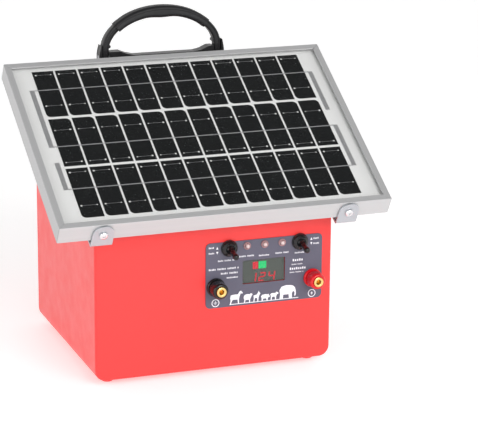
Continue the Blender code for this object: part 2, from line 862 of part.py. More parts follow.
def build_handle_arch(pivot, plastic):
    """The arch, straight down past its pins and thinner under the grip, with a bore for the pins."""
    leg_low = -0.0058
    leg = rounded_section(0.0074, 0.0108, 0.0024)
    core = rounded_section(0.0060, 0.0090, 0.0020)
    step = GRIP_START - 0.5
    right, left = [(Vector((side * HANDLE_HALF, leg_low)), Vector((side, 0.0))) for side in (1, -1)]
    rings = sweep_rings([right, *arch_line(0, step, 6)], leg)
    rings += sweep_rings(arch_line(step, 180 - step, 18), core)
    rings += sweep_rings([*arch_line(180 - step, 180, 6), left], leg)
    bm = bmesh.new()
    add_loft(bm, rings)
    arch = finish("handle_arch", bm, pivot, plastic)
    bm = bmesh.new()
    for side in (-1, 1):
        middle = (side * HANDLE_HALF, 0.0, 0.0)
        add_turned(bm, [(0.0025, -0.009), (0.0025, 0.009)], middle, "X", SMALL_SIDES)
    combine(arch, cutter("handle_bores", bm, pivot))


def build_handle_grip(pivot, rubber):
    """Moulded sleeve over the middle of the arch, swollen under its middle."""
    line = arch_line(GRIP_START, 180 - GRIP_START, 16)
    outer = []
    for k, place in enumerate(line):
        swell = 0.0020 * math.exp(-(((k - 8) / 1.7) ** 2))
        section = rounded_section(0.0109, 0.0152, 0.0040)
        outer += sweep_rings([place], [(n - swell if n < 0 else n, depth) for n, depth in section])
    inner = sweep_rings(line, rounded_section(0.0066, 0.0096, 0.0023))
    bm = bmesh.new()
    shells = []
    for rings in (outer, inner):
        shells.append([[bm.verts.new(point) for point in ring] for ring in rings])
    for rows in shells:
        for one, two in zip(rows, rows[1:]):
            join_rows(bm, one, two, len(one))
    for end in (0, -1):
        join_rows(bm, shells[0][end], shells[1][end], len(shells[0][0]))
    finish("handle_grip", bm, pivot, rubber)


def build_handle_base(box, plastic, steel):
    """Base with a low bridge, two shoulders and two cheeks; each leg of the arch stands between."""
    foot, bridge, shoulder, cheek, slot = DECK_HEIGHT + GAP, 0.3010, 0.3060, 0.3128, 0.2915
    half = [
        (CHEEK_OUTER, foot),
        (CHEEK_OUTER, cheek - 0.0098),
        (CHEEK_OUTER - 0.0008, cheek - 0.0050),
        (CHEEK_INNER + 0.0009, cheek),
        (CHEEK_INNER, cheek),
        (CHEEK_INNER, slot),
        (SHOULDER, slot),
        (SHOULDER, shoulder),
    ]
    right = [(0.0525, shoulder), (0.0450, bridge + 0.0016), (0.0370, bridge)]
    left = [(-0.0300, bridge), (-0.0390, bridge + 0.0020), (-0.0465, shoulder)]
    outline = half + right + left + [(-x, z) for x, z in reversed(half)]
    bm = bmesh.new()
    deep = HANDLE_BASE_DEPTH / 2
    add_prism(bm, outline, "Y", -deep, deep)
    base = finish("handle_base", bm, box, plastic, place=(HANDLE_X, HANDLE_Y, 0.0))
    bm = bmesh.new()
    for side in (-1, 1):
        middle = (side * HANDLE_HALF, 0.0, HANDLE_PIVOT_Z)
        add_turned(bm, [(0.0025, -0.0105), (0.0025, 0.0105)], middle, "X", SMALL_SIDES)
    combine(base, cutter("base_bores", bm, box, place=(HANDLE_X, HANDLE_Y, 0.0)))
    for name, side in (("left", -1), ("right", 1)):
        bm = bmesh.new()
        flush = CHEEK_OUTER - HANDLE_HALF
        pin_profile = [(0.0, -0.0100), (0.0022, -0.0100), (0.0022, flush), (0.0, flush)]
        add_turned(bm, pin_profile, (0.0, 0.0, 0.0), "X", 12)
        pin = finish(f"handle_pin_{name}", bm, box, steel,
                     place=(HANDLE_X + side * HANDLE_HALF, HANDLE_Y, HANDLE_PIVOT_Z))
        pin.rotation_euler = (0.0, 0.0, 0.0 if side > 0 else math.pi)


def build_battery(box, looks):
    """Sealed battery on the floor at the back, with its terminals and hold-down clamp."""
    low = Vector((-0.0755, 0.145, FOOT_HEIGHT + WALL + GAP))
    high = low + Vector((0.151, 0.065, 0.094))
    bm = bmesh.new()
    add_box(bm, low, high)
    finish("battery", bm, box, looks["battery"])
    for name, x in (("minus", -0.062), ("plus", 0.062)):
        bm = bmesh.new()
        add_box(bm, (x - 0.0024, 0.170, high.z + GAP), (x + 0.0024, 0.1708, high.z + 0.0065))
        finish(f"battery_tab_{name}", bm, box, looks["brass"])
    thick, foot = 0.0015, 0.010
    front, rear, top = low.y - GAP, high.y + GAP, high.z + GAP
    outline = [
        (front - foot, low.z),
        (front, low.z),
        (front, top),
        (rear, top),
        (rear, low.z),
        (rear + thick, low.z),
        (rear + thick, top + thick),
        (front - thick, top + thick),
        (front - thick, low.z + thick),
        (front - foot, low.z + thick),
    ]
    bm = bmesh.new()
    add_prism(bm, outline, "X", -0.010, 0.010)
    finish("battery_clamp", bm, box, looks["steel"])


def build_electronics(box, looks):
    """Pulse board on four spacers, with its capacitor and output transformer."""
    left, right, front, rear = -0.112, -0.012, 0.030, 0.110
    floor, thick, post = FOOT_HEIGHT + WALL + GAP, 0.0016, 0.006
    board = floor + 0.012
    bm = bmesh.new()
    add_box(bm, (left, front, board), (right, rear, board + thick))
    pulse_board = finish("pulse_board", bm, box, looks["board"])
    bm = bmesh.new()
    for x in (left + 0.001, right - 0.001 - post):
        for y in (front + 0.001, rear - 0.001 - post):
            add_box(bm, (x, y, floor), (x + post, y + post, board + thick / 2))
    combine(pulse_board, cutter("board_spacers", bm, box), "UNION")
    top = board + thick + GAP
    bm = bmesh.new()
    can = [(0.0, 0.0), (0.0150, 0.0), (0.0150, 0.044), (0.0138, 0.045), (0.0, 0.045)]
    add_turned(bm, can, (left + 0.024, front + 0.022, top), "Z", SMALL_SIDES)
    finish("storage_capacitor", bm, box, looks["battery"])
    core_x, core_y = left + 0.044, front + 0.050
    bm = bmesh.new()
    add_box(bm, (core_x, core_y, top), (core_x + 0.050, core_y + 0.015, top + 0.040))
    core = finish("transformer_core", bm, box, looks["steel"])
    bm = bmesh.new()
    add_box(bm, (core_x + 0.010, core_y - 0.01, top + 0.010),
            (core_x + 0.040, core_y + 0.025, top + 0.030))
    combine(core, cutter("core_window", bm, box))
    coil_low = (core_x - 0.008, core_y - 0.008, top + 0.0105)
    coil_high = (core_x + 0.018, core_y + 0.023, top + 0.0295)
    bm = bmesh.new()
    add_box(bm, coil_low, coil_high)
    coil = finish("transformer_coil", bm, box, looks["copper"])
    bm = bmesh.new()
    add_box(bm, (core_x - GAP, core_y - GAP, top), (core_x + 0.010 + GAP, core_y + 0.015 + GAP, top + 0.045))
    combine(coil, cutter("coil_bore", bm, box))


def make_looks():
    """One material for each kind of surface."""
    return {
        "paint": look("red_powder_coat", (0.90, 0.05, 0.04), 0.35),
        "aluminium": look("anodised_aluminium", (0.72, 0.73, 0.75), 0.38, 1.0),
        "glass": look("panel_glass", (0.9, 0.95, 0.95), 0.05, 0.0, 0.2),
        "cells": look("cell_sheet", (0.02, 0.02, 0.03), 0.3),
        "steel": look("zinc_plated_steel", (0.70, 0.71, 0.74), 0.35, 1.0),
        "black": look("black_plastic", (0.03, 0.03, 0.035), 0.45),
        "rubber": look("black_rubber", (0.02, 0.02, 0.02), 0.6),
        "red": look("red_plastic", (0.75, 0.02, 0.03), 0.25),
        "brass": look("brass", (0.85, 0.62, 0.22), 0.25, 1.0),
        "plate": look("label_plate", (0.17, 0.17, 0.22), 0.45),
        "lens": look("meter_window", (0.08, 0.10, 0.09), 0.1, 0.0, 0.5),
        "lamp": look("lamp_lens", (0.85, 0.70, 0.72), 0.1),
        "battery": look("battery_case", (0.05, 0.05, 0.06), 0.5),
        "board": look("circuit_board", (0.02, 0.22, 0.08), 0.5),
        "copper": look("copper_winding", (0.72, 0.35, 0.16), 0.35, 1.0),
    }


def build():
    clear_scene()
    looks = make_looks()
    box = frame("box_frame", (0.0, FRONT_FACE_Y, 0.0))
    panel = frame("panel_frame", (0.0, PANEL_FRONT_Y, PANEL_FRONT_Z), box, PANEL_TILT)
    pivot = frame("handle_pivot", (HANDLE_X, HANDLE_Y, HANDLE_PIVOT_Z), box)

    holes = build_front_holes(box)
    combine(build_housing(box, looks["paint"]), holes)
    build_top_cover(box, looks["paint"])
    build_rear_cover(box, looks["paint"])
    build_jack(box, looks["black"])
    build_feet(box, looks["paint"])

    build_label_plate(box, looks["plate"], holes)
    build_meter(box, looks["black"], looks["lens"])
    for name, side in (("left", -1), ("right", 1)):
        build_toggle(box, name, CONTROLS_X + side * TOGGLE_OFFSET, looks["steel"], looks["rubber"])
    for name, step in (("left", -1), ("middle", 0), ("right", 1)):
        build_led(box, name, CONTROLS_X + step * LED_PITCH, looks["steel"], looks["lamp"])
    build_post(box, "black", CONTROLS_X - POST_OFFSET, looks["black"], looks["brass"])
    build_post(box, "red", CONTROLS_X + POST_OFFSET, looks["red"], looks["brass"])

    rails = build_panel(panel, looks)
    build_straps(panel, rails, looks["steel"], looks["steel"])
    build_grommet(box, looks["rubber"])

    build_handle_base(box, looks["black"], looks["steel"])
    build_handle_arch(pivot, looks["black"])
    build_handle_grip(pivot, looks["rubber"])

    build_battery(box, looks)
    build_electronics(box, looks)


build()
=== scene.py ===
"""Looks for the solar fence energizer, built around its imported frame.

Four local frames are used. In each, x runs across the object, y up the face and z out of it: FRONT on the
box's front face, REAR on its rear cover, PANEL on the solar panel's top, HANDLE at the handle's pivot line.
"""

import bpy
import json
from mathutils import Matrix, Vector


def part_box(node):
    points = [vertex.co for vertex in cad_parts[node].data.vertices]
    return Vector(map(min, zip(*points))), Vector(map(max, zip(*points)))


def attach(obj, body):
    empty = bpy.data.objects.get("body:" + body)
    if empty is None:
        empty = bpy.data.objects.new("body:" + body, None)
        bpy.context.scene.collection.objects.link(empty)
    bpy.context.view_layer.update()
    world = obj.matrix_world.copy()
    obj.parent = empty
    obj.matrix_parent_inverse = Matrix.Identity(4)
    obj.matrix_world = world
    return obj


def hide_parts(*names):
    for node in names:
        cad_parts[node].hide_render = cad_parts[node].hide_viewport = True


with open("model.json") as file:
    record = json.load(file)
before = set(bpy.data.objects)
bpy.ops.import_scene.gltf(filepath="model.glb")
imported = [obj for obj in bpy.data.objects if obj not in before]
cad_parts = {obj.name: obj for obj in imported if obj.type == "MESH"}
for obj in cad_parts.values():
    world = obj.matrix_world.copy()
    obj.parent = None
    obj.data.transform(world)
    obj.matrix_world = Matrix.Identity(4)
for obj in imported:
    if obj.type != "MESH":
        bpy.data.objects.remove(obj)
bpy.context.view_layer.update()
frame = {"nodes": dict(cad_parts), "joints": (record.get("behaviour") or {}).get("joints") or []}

import json
import math

import bmesh
import bpy
from mathutils import Matrix, Vector

MM = 0.001
TILT = math.radians(30)
LIP = 7 * MM
RIM = 1.4 * MM
GAP = 0.3 * MM
SQUARE = (0,) * 4
QUARTER_TURN = math.radians(90)
SMOOTH = math.radians(32)
WELD_DISTANCE = 0.01 * MM
FINE_EDGE = 0.12 * MM


# ---------------------------------------------------------------- places read from the frame

def low(node):
    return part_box(node)[0]


def high(node):
    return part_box(node)[1]


def middle(node):
    return (low(node) + high(node)) / 2


def joint_place(name):
    joint = next(j for j in frame["joints"] if j["name"] == name)
    return Vector(joint["pos_m"])


def turned_frame(place, angle):
    return Matrix.Translation(place) @ Matrix.Rotation(angle, 4, "X")


FRONT_Y = low("housing").y
PANEL_WIDTH = high("frame_front").x - low("frame_front").x
PANEL_LOW = Vector((0.0, low("frame_front").y, high("frame_front").z - LIP * math.sin(TILT)))
FRONT = turned_frame(Vector((0.0, FRONT_Y, 0.0)), QUARTER_TURN)
REAR_PLACE = Matrix.Translation((0.0, high("rear_cover").y, 0.0))
REAR = REAR_PLACE @ Matrix.Rotation(math.pi, 4, "Z") @ Matrix.Rotation(QUARTER_TURN, 4, "X")
PANEL = turned_frame(PANEL_LOW, TILT)
PANEL_LENGTH = max((PANEL.inverted() @ v.co).y for v in frame["nodes"]["frame_rear"].data.vertices)
HANDLE = turned_frame(joint_place("handle_swing"), QUARTER_TURN)


# ---------------------------------------------------------------- shapes

def ring_points(matrix, radius, z, centre, sides, flute=None):
    """A circle of points; flute gives a factor of the radius at each angle and height."""
    points = []
    for k in range(sides):
        angle = math.tau * k / sides
        r = radius * (flute(angle, z) if flute else 1.0)
        points.append(matrix @ Vector((centre[0] + r * math.cos(angle), centre[1] + r * math.sin(angle), z)))
    return points


def add_turned(bm, profile, centre=(0.0, 0.0), sides=48, ring=False, flute=None, matrix=Matrix()):
    """Turns (radius, z) points about the z axis through centre; ring=True closes the profile on itself."""
    rows = []
    for radius, z in profile:
        if radius == 0.0:
            rows.append([bm.verts.new(matrix @ Vector((centre[0], centre[1], z)))])
        else:
            rows.append([bm.verts.new(p) for p in ring_points(matrix, radius, z, centre, sides, flute)])
    pairs = list(zip(rows, rows[1:]))
    if ring:
        pairs.append((rows[-1], rows[0]))
    for one, two in pairs:
        join_rows(bm, one, two)
    if not ring:
        for row in (rows[0], rows[-1]):
            if len(row) > 1:
                bm.faces.new(row)


def join_rows(bm, one, two):
    """Faces between two rows of a closed loft, either of which may be a single point."""
    sides = max(len(one), len(two))
    for i in range(sides):
        j = (i + 1) % sides
        if len(one) == 1:
            bm.faces.new((one[0], two[j], two[i]))
        elif len(two) == 1:
            bm.faces.new((one[i], one[j], two[0]))
        else:
            bm.faces.new((one[i], one[j], two[j], two[i]))


def add_loft(bm, rings):
    rows = [[bm.verts.new(point) for point in ring] for ring in rings]
    for one, two in zip(rows, rows[1:]):
        join_rows(bm, one, two)
    bm.faces.new(rows[0])
    bm.faces.new(rows[-1])


def add_prism(bm, outline, z0, z1):
    add_loft(bm, [[(x, y, z) for x, y in outline] for z in (z0, z1)])


def add_box(bm, corner, other):
    size = Vector(other) - Vector(corner)
    centre = (Vector(other) + Vector(corner)) / 2
    bmesh.ops.create_cube(bm, size=1.0, matrix=Matrix.Translation(centre) @ Matrix.Diagonal((*size, 1.0)))


def arc(centre, radius, start, end, steps):
    angles = [math.radians(start + (end - start) * k / steps) for k in range(steps + 1)]
    return [(centre[0] + radius * math.cos(a), centre[1] + radius * math.sin(a)) for a in angles]


def rectangle(x0, y0, x1, y1, radii, steps=6):
    """An outline with corners (lower right, upper right, upper left, lower left) of the given radii."""
    corners = ((x1, y0, -1, 1, 270), (x1, y1, -1, -1, 0), (x0, y1, 1, -1, 90), (x0, y0, 1, 1, 180))
    outline = []
    for (x, y, sx, sy, start), radius in zip(corners, radii):
        if radius:
            outline += arc((x + sx * radius, y + sy * radius), radius, start, start + 90, steps)
        else:
            outline.append((x, y))
    return outline


def soften(made, width):
    """Rounds a piece's sharp edges and keeps its flat faces flat."""
    bevel = made.modifiers.new("edges", "BEVEL")
    bevel.width = width
    bevel.segments = 2
    bevel.limit_method = "ANGLE"
    bevel.angle_limit = SMOOTH
    normals = made.modifiers.new("normals", "WEIGHTED_NORMAL")
    normals.keep_sharp = True


def piece(name, bm, surface, body="casing", place=Matrix(), stands_for=(), edge=0.0):
    """A new piece of the object from a bmesh in local coordinates."""
    bmesh.ops.recalc_face_normals(bm, faces=bm.faces)
    mesh = bpy.data.meshes.new(name)
    bm.to_mesh(mesh)
    bm.free()
    mesh.materials.append(surface)
    mesh.shade_smooth()
    mesh.set_sharp_from_angle(angle=SMOOTH)
    made = bpy.data.objects.new(name, mesh)
    bpy.context.scene.collection.objects.link(made)
    made.matrix_world = place
    if edge:
        soften(made, edge)
    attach(made, body)
    if stands_for:
        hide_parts(*stands_for)
    return made


def carve(made, bm):
    """Cuts a bmesh, given in the piece's own coordinates, out of a piece for good."""
    bmesh.ops.recalc_face_normals(bm, faces=bm.faces)
    mesh = bpy.data.meshes.new("cut")
    bm.to_mesh(mesh)
    bm.free()
    tool = bpy.data.objects.new("cut", mesh)
    bpy.context.scene.collection.objects.link(tool)
    tool.matrix_world = made.matrix_world
    change = made.modifiers.new("cut", "BOOLEAN")
    change.object = tool
    change.solver = "EXACT"
    change.use_self = True
    bpy.context.view_layer.update()
    evaluated = made.evaluated_get(bpy.context.evaluated_depsgraph_get())
    result = bpy.data.meshes.new_from_object(evaluated)
    made.modifiers.clear()
    made.data = result
    bpy.data.objects.remove(tool)
    result.shade_smooth()
    result.set_sharp_from_angle(angle=SMOOTH)


# ---------------------------------------------------------------- materials

class Surface:
    """A Principled material and short ways to add its texture nodes."""

    def __init__(self, name, colour, roughness, metallic=0.0, **sockets):
        self.material = bpy.data.materials.new(name)
        self.material.use_nodes = True
        self.tree = self.material.node_tree
        self.shader = self.tree.nodes["Principled BSDF"]
        self.base = colour
        self.shader.inputs["Base Color"].default_value = (*colour, 1.0)
        self.shader.inputs["Roughness"].default_value = roughness
        self.shader.inputs["Metallic"].default_value = metallic
        for socket, value in sockets.items():
            self.shader.inputs[socket.replace("_", " ")].default_value = value
        self.height = None

    def node(self, kind, **inputs):
        made = self.tree.nodes.new("ShaderNode" + kind)
        for name, value in inputs.items():
            made.inputs[name.replace("_", " ")].default_value = value
        return made

    def link(self, source, target):
        self.tree.links.new(source, target)

    def place(self, stretch=(1.0, 1.0, 1.0)):
        """The piece's own coordinates, stretched for grain that runs one way."""
        where = self.node("TexCoord")
        mapping = self.node("Mapping")
        mapping.inputs["Scale"].default_value = stretch
        self.link(where.outputs["Object"], mapping.inputs["Vector"])
        return mapping.outputs["Vector"]

    def noise(self, scale, detail=3.0, stretch=(1.0, 1.0, 1.0)):
        made = self.node("TexNoise", Scale=scale, Detail=detail)
        self.link(self.place(stretch), made.inputs["Vector"])
        return made.outputs["Fac"]

    def span(self, value, start, end, lowest, highest):
        """Maps value from start..end to lowest..highest."""
        made = self.node("MapRange")
        self.link(value, made.inputs["Value"])
        limits = {"From Min": start, "From Max": end, "To Min": lowest, "To Max": highest}
        for name, number in limits.items():
            made.inputs[name].default_value = number
        return made.outputs["Result"]

    def vary_colour(self, value, dark, light):
        """Colour that follows value, as factors of the base colour or as colours of its own."""
        ramp = self.node("ValToRGB")
        for element, tone in zip(ramp.color_ramp.elements, (dark, light)):
            if isinstance(tone, tuple):
                element.color = (*tone, 1.0)
            else:
                element.color = (*[min(1.0, channel * tone) for channel in self.base], 1.0)
        self.link(value, ramp.inputs["Fac"])
        self.link(ramp.outputs["Color"], self.shader.inputs["Base Color"])

    def vary_roughness(self, value, smooth, rough):
        self.link(self.span(value, 0.3, 0.7, smooth, rough), self.shader.inputs["Roughness"])

    def bump(self, value, distance, strength):
        made = self.node("Bump", Strength=strength, Distance=distance)
        self.link(value, made.inputs["Height"])
        if self.height is not None:
            self.link(self.height.outputs["Normal"], made.inputs["Normal"])
        self.link(made.outputs["Normal"], self.shader.inputs["Normal"])
        self.height = made


def powder_coat():
    """Red powder coat: fine orange peel, and slight variation in tone and gloss."""
    made = Surface("red_powder_coat", (0.82, 0.028, 0.026), 0.36, Coat_Weight=0.15, Coat_Roughness=0.22)
    made.vary_colour(made.noise(9.0, 2.0), 0.95, 1.05)
    made.vary_roughness(made.noise(60.0), 0.32, 0.42)
    made.bump(made.noise(900.0, 2.0), 0.00006, 0.35)
    return made.material


def anodised(name, tone, metallic, stretch):
    """Satin anodised aluminium, drawn along one direction."""
    made = Surface(name, (tone, tone, tone * 1.01), 0.40, metallic)
    grain = made.noise(60.0, 4.0, stretch)
    made.vary_colour(grain, 0.93, 1.06)
    made.vary_roughness(grain, 0.36, 0.48)
    made.bump(grain, 0.00004, 0.25)
    return made.material


def zinc_plate():
    """Bright zinc plating with a cloudy spangle."""
    made = Surface("zinc_plate", (0.50, 0.52, 0.55), 0.36, 0.75)
    cloud = made.noise(110.0, 4.0)
    made.vary_colour(cloud, 0.88, 1.10)
    made.vary_roughness(cloud, 0.25, 0.44)
    made.bump(made.noise(700.0), 0.00003, 0.3)
    return made.material


def bright_steel():
    """Screw steel, polished enough to mirror the room."""
    made = Surface("bright_steel", (0.78, 0.78, 0.80), 0.16, 1.0)
    made.vary_roughness(made.noise(300.0), 0.12, 0.24)
    made.bump(made.noise(900.0), 0.00002, 0.25)
    return made.material


def moulded(name, colour, roughness, grain, depth, gloss=0.0):
    """Moulded plastic or rubber with a fine texture of its own."""
    made = Surface(name, colour, roughness, Coat_Weight=gloss, Coat_Roughness=0.08, Specular_IOR_Level=0.30)
    made.vary_colour(made.noise(35.0, 2.0), 0.85, 1.2)
    made.vary_roughness(made.noise(180.0), roughness - 0.05, roughness + 0.08)
    made.bump(made.noise(grain, 3.0), depth, 0.5)
    return made.material


def turned_brass():
    """Turned brass: bright, with faint tool rings and warm stains."""
    made = Surface("turned_brass", (0.87, 0.60, 0.20), 0.20, 1.0)
    stain = made.noise(220.0, 3.0)
    made.vary_colour(stain, (0.66, 0.41, 0.11), (0.93, 0.70, 0.30))
    made.vary_roughness(stain, 0.14, 0.30)
    made.bump(made.noise(2500.0, 1.0), 0.00002, 0.3)
    return made.material


def label_film():
    """Slate printed film with a satin face."""
    made = Surface("label_film", (0.098, 0.094, 0.130), 0.42, Specular_IOR_Level=0.3)
    made.vary_colour(made.noise(70.0, 3.0), 0.92, 1.08)
    made.vary_roughness(made.noise(300.0), 0.38, 0.50)
    made.bump(made.noise(1500.0), 0.00002, 0.3)
    return made.material


def white_ink():
    made = Surface("white_ink", (0.80, 0.79, 0.84), 0.5)
    made.vary_colour(made.noise(400.0), 0.92, 1.06)
    made.bump(made.noise(2500.0), 0.00002, 0.3)
    return made.material


def smoked_window():
    """Smoked window over the display: nearly clear, polished."""
    made = Surface("smoked_window", (0.05, 0.06, 0.055), 0.10, Alpha=0.2, Specular_IOR_Level=0.3)
    made.vary_roughness(made.noise(200.0), 0.07, 0.14)
    return made.material


def display(name, colour, strength):
    """A lit segment, a little uneven in brightness."""
    made = Surface(name, tuple(0.4 * channel for channel in colour), 0.4)
    made.shader.inputs["Emission Strength"].default_value = strength
    ramp = made.node("ValToRGB")
    ramp.color_ramp.elements[0].color = (*[0.75 * channel for channel in colour], 1.0)
    ramp.color_ramp.elements[1].color = (*colour, 1.0)
    made.link(made.noise(500.0), ramp.inputs["Fac"])
    made.link(ramp.outputs["Color"], made.shader.inputs["Emission Color"])
    return made.material


def lamp_lens():
    """Water-clear lamp with a warm tint."""
    made = Surface("lamp_lens", (0.90, 0.74, 0.72), 0.06, Coat_Weight=1.0, Coat_Roughness=0.03, Alpha=0.82)
    made.vary_colour(made.noise(350.0), (0.55, 0.36, 0.36), (0.95, 0.84, 0.82))
    return made.material


def solar_cell():
    """Black monocrystalline silicon with its fine silver fingers."""
    finger_pitch, finger_half = 1.7 * MM, 0.08 * MM
    made = Surface("solar_cell", (0.006, 0.007, 0.011), 0.22, Specular_IOR_Level=0.2)
    where = made.node("SeparateXYZ")
    made.link(made.place(), where.inputs["Vector"])
    finger = made.node("Math")
    finger.operation = "PINGPONG"
    made.link(where.outputs["X"], finger.inputs[0])
    finger.inputs[1].default_value = finger_pitch / 2
    line = made.span(finger.outputs["Value"], finger_half, 0.0, 0.0, 1.0)
    cloud = made.noise(45.0, 3.0)
    mixed = made.node("Mix")
    mixed.data_type = "RGBA"
    ramp = made.node("ValToRGB")
    ramp.color_ramp.elements[0].color = (0.0034, 0.0032, 0.0034, 1.0)
    ramp.color_ramp.elements[1].color = (0.0068, 0.0064, 0.0068, 1.0)
    made.link(cloud, ramp.inputs["Fac"])
    made.link(line, mixed.inputs["Factor"])
    made.link(ramp.outputs["Color"], mixed.inputs["A"])
    mixed.inputs["B"].default_value = (0.035, 0.035, 0.038, 1.0)
    made.link(mixed.outputs["Result"], made.shader.inputs["Base Color"])
    made.vary_roughness(made.noise(120.0), 0.18, 0.30)
    return made.material


def tinned_ribbon():
    made = Surface("tinned_ribbon", (0.52, 0.52, 0.53), 0.35, 0.6)
    made.vary_colour(made.noise(260.0, 3.0, (0.2, 1.0, 1.0)), 0.85, 1.12)
    made.bump(made.noise(800.0), 0.00003, 0.4)
    return made.material


def solder():
    """Bright, slightly dull solder."""
    made = Surface("solder", (0.74, 0.74, 0.73), 0.38, 0.15)
    made.vary_colour(made.noise(900.0), 0.88, 1.06)
    made.bump(made.noise(1500.0), 0.00004, 0.4)
    return made.material


def backsheet():
    """White laminate with a faint weave of the fleece under it."""
    made = Surface("backsheet", (0.80, 0.80, 0.79), 0.45, Coat_Weight=0.2, Coat_Roughness=0.08)
    made.vary_colour(made.noise(500.0, 3.0), 0.96, 1.03)
    made.bump(made.noise(1200.0), 0.00004, 0.3)
    return made.material


def panel_glass():
    """Tempered glass, seen as a thin clear film with a slightly uneven polish."""
    made = Surface("panel_glass", (0.10, 0.12, 0.12), 0.05, Alpha=0.03)
    made.vary_roughness(made.noise(25.0), 0.03, 0.09)
    return made.material


def circuit_board():
    made = Surface("circuit_board", (0.02, 0.16, 0.06), 0.42)
    made.vary_colour(made.noise(260.0, 1.0), 0.7, 1.3)
    made.bump(made.noise(600.0), 0.00005, 0.4)
    return made.material


def copper_winding():
    """Enamelled wire, wound in fine turns."""
    made = Surface("copper_winding", (0.62, 0.25, 0.09), 0.30, 0.8)
    wave = made.node("TexWave", Scale=350.0, Distortion=0.2)
    made.link(made.place(), wave.inputs["Vector"])
    made.vary_colour(wave.outputs["Fac"], 0.55, 1.15)
    made.bump(wave.outputs["Fac"], 0.0002, 0.6)
    return made.material


def make_surfaces():
    return {
        "paint": powder_coat(),
        # One anodised aluminium for the whole frame: the side rails' lower tone (0.45) and metal (0.25),
        # against the front and rear rails' (0.53, 0.42), are painted shade; only the grain direction differs
        # for real.
        "rail_x": anodised("anodised_rail_across", 0.53, 0.42, (0.06, 6.0, 6.0)),
        "rail_y": anodised("anodised_rail_along_painted_shade", 0.45, 0.25, (6.0, 0.06, 0.06)),
        "zinc": zinc_plate(),
        "steel": bright_steel(),
        "plastic": moulded("black_plastic", (0.006, 0.006, 0.007), 0.38, 1400.0, 0.00010, 0.05),
        "grip": moulded("grip_rubber", (0.010, 0.010, 0.011), 0.50, 1800.0, 0.00012),
        "boot": moulded("boot_rubber", (0.006, 0.006, 0.007), 0.22, 900.0, 0.00003, 0.3),
        "post_black": moulded("post_black", (0.006, 0.006, 0.007), 0.16, 700.0, 0.00003, 0.4),
        "post_red": moulded("post_red", (0.58, 0.006, 0.012), 0.16, 700.0, 0.00003, 0.3),
        "brass": turned_brass(),
        "film": label_film(),
        "ink": white_ink(),
        "window": smoked_window(),
        "display_face": moulded("display_face", (0.125, 0.142, 0.128), 0.45, 900.0, 0.00004),
        "red_segment": display("red_segment", (0.90, 0.015, 0.04), 0.9),
        "green_segment": display("green_segment", (0.01, 0.85, 0.24), 0.9),
        "lamp": lamp_lens(),
        "bezel": moulded("lamp_bezel", (0.34, 0.19, 0.20), 0.25, 700.0, 0.00003, 0.5),
        "cell": solar_cell(),
        "ribbon": tinned_ribbon(),
        "solder": solder(),
        "backsheet": backsheet(),
        "glass": panel_glass(),
        "battery": moulded("battery_case", (0.03, 0.03, 0.035), 0.45, 900.0, 0.00010),
        "board": circuit_board(),
        "copper": copper_winding(),
        "core": moulded("core_steel", (0.22, 0.22, 0.23), 0.45, 500.0, 0.00008),
    }


# ---------------------------------------------------------------- CAD nodes that stay

def dress_nodes(surfaces):
    """Gives every CAD node its material, and small round edges where it shows."""
    plan = {
        "paint": ["housing", "top_cover", "rear_cover", "foot_front_left", "foot_front_right",
                  "foot_rear_left", "foot_rear_right"],
        "rail_x": ["frame_front", "frame_rear"],
        "rail_y": ["frame_left", "frame_right"],
        "zinc": ["strap_left", "strap_right", "toggle_body_left", "toggle_body_right", "handle_pin_left",
                 "handle_pin_right", "battery_clamp"],
        "plastic": ["charging_jack", "junction_box", "handle_base"],
        "display_face": ["meter_module"],
        "boot": ["lead_grommet"],
        "brass": ["post_stud_black", "post_stud_red", "post_washer_black", "post_washer_red",
                  "battery_tab_minus", "battery_tab_plus"],
        "film": ["label_plate"],
        "window": ["meter_window"],
        "glass": ["panel_glass"],
        "battery": ["battery", "storage_capacitor"],
        "board": ["pulse_board"],
        "core": ["transformer_core"],
        "copper": ["transformer_coil"],
    }
    edges_mm = {
        "housing": 0.5, "top_cover": 0.5, "rear_cover": 0.4, "frame_front": 0.35, "frame_rear": 0.35,
        "frame_left": 0.35, "frame_right": 0.35, "strap_left": 0.35, "strap_right": 0.35, "handle_base": 0.8,
        "label_plate": 0.15, "battery": 1.5, "junction_box": 0.5, "charging_jack": 0.2,
    }
    for key, nodes in plan.items():
        for node in nodes:
            made = frame["nodes"][node]
            made.data.materials.clear()
            made.data.materials.append(surfaces[key])
            if node in edges_mm:
                weld = made.modifiers.new("weld", "WELD")
                weld.merge_threshold = WELD_DISTANCE
                soften(made, edges_mm[node] * MM)


# ---------------------------------------------------------------- solar panel

COLUMNS, ROWS = 12, 3
FIRST_COLUMN, COLUMN_PITCH, COLUMN_GAP = 28.2 * MM, 24.78 * MM, 2.2 * MM
FIRST_ROW, ROW_PITCH, ROW_GAP = 16.9 * MM, 72.4 * MM, 3.45 * MM
CELL_WIDTH = COLUMN_PITCH - COLUMN_GAP
CELL_LENGTH = ROW_PITCH - ROW_GAP
CELL_CORNER = 5.0 * MM
RIBBON = 1.2 * MM
HAIRLINE = 0.24 * MM
BUS_WIDTH = 4.8 * MM
BUS_OFFSET = 4.0 * MM
BUS_BELOW, BUS_ABOVE = 20 * MM, 6 * MM
SHEET_CORNER = 1.0 * MM
SHEET_THICK = 0.24 * MM
SHEET_Z = -5.45 * MM
CELL_BOTTOM = SHEET_Z + 0.03 * MM
CELL_TOP = -5.20 * MM
RIBBON_TOP = -5.10 * MM
HAIRLINE_TOP = RIBBON_TOP - 0.04 * MM
DOT_TOP = RIBBON_TOP + 0.02 * MM
DOT_SHARES = (0.14, 0.85)
DOT_RADII = (1.10 * MM, 0.75 * MM)
MAIN, UPPER, LOWER = 0.415, 0.08, 0.76


def column_left(column):
    return -PANEL_WIDTH / 2 + FIRST_COLUMN + column * COLUMN_PITCH


def row_low(row):
    """Lower edge of a row; row 0 is at the front."""
    return FIRST_ROW + row * ROW_PITCH


def turned_round(row):
    """The middle row's cells lie the other way round."""
    return row == 1


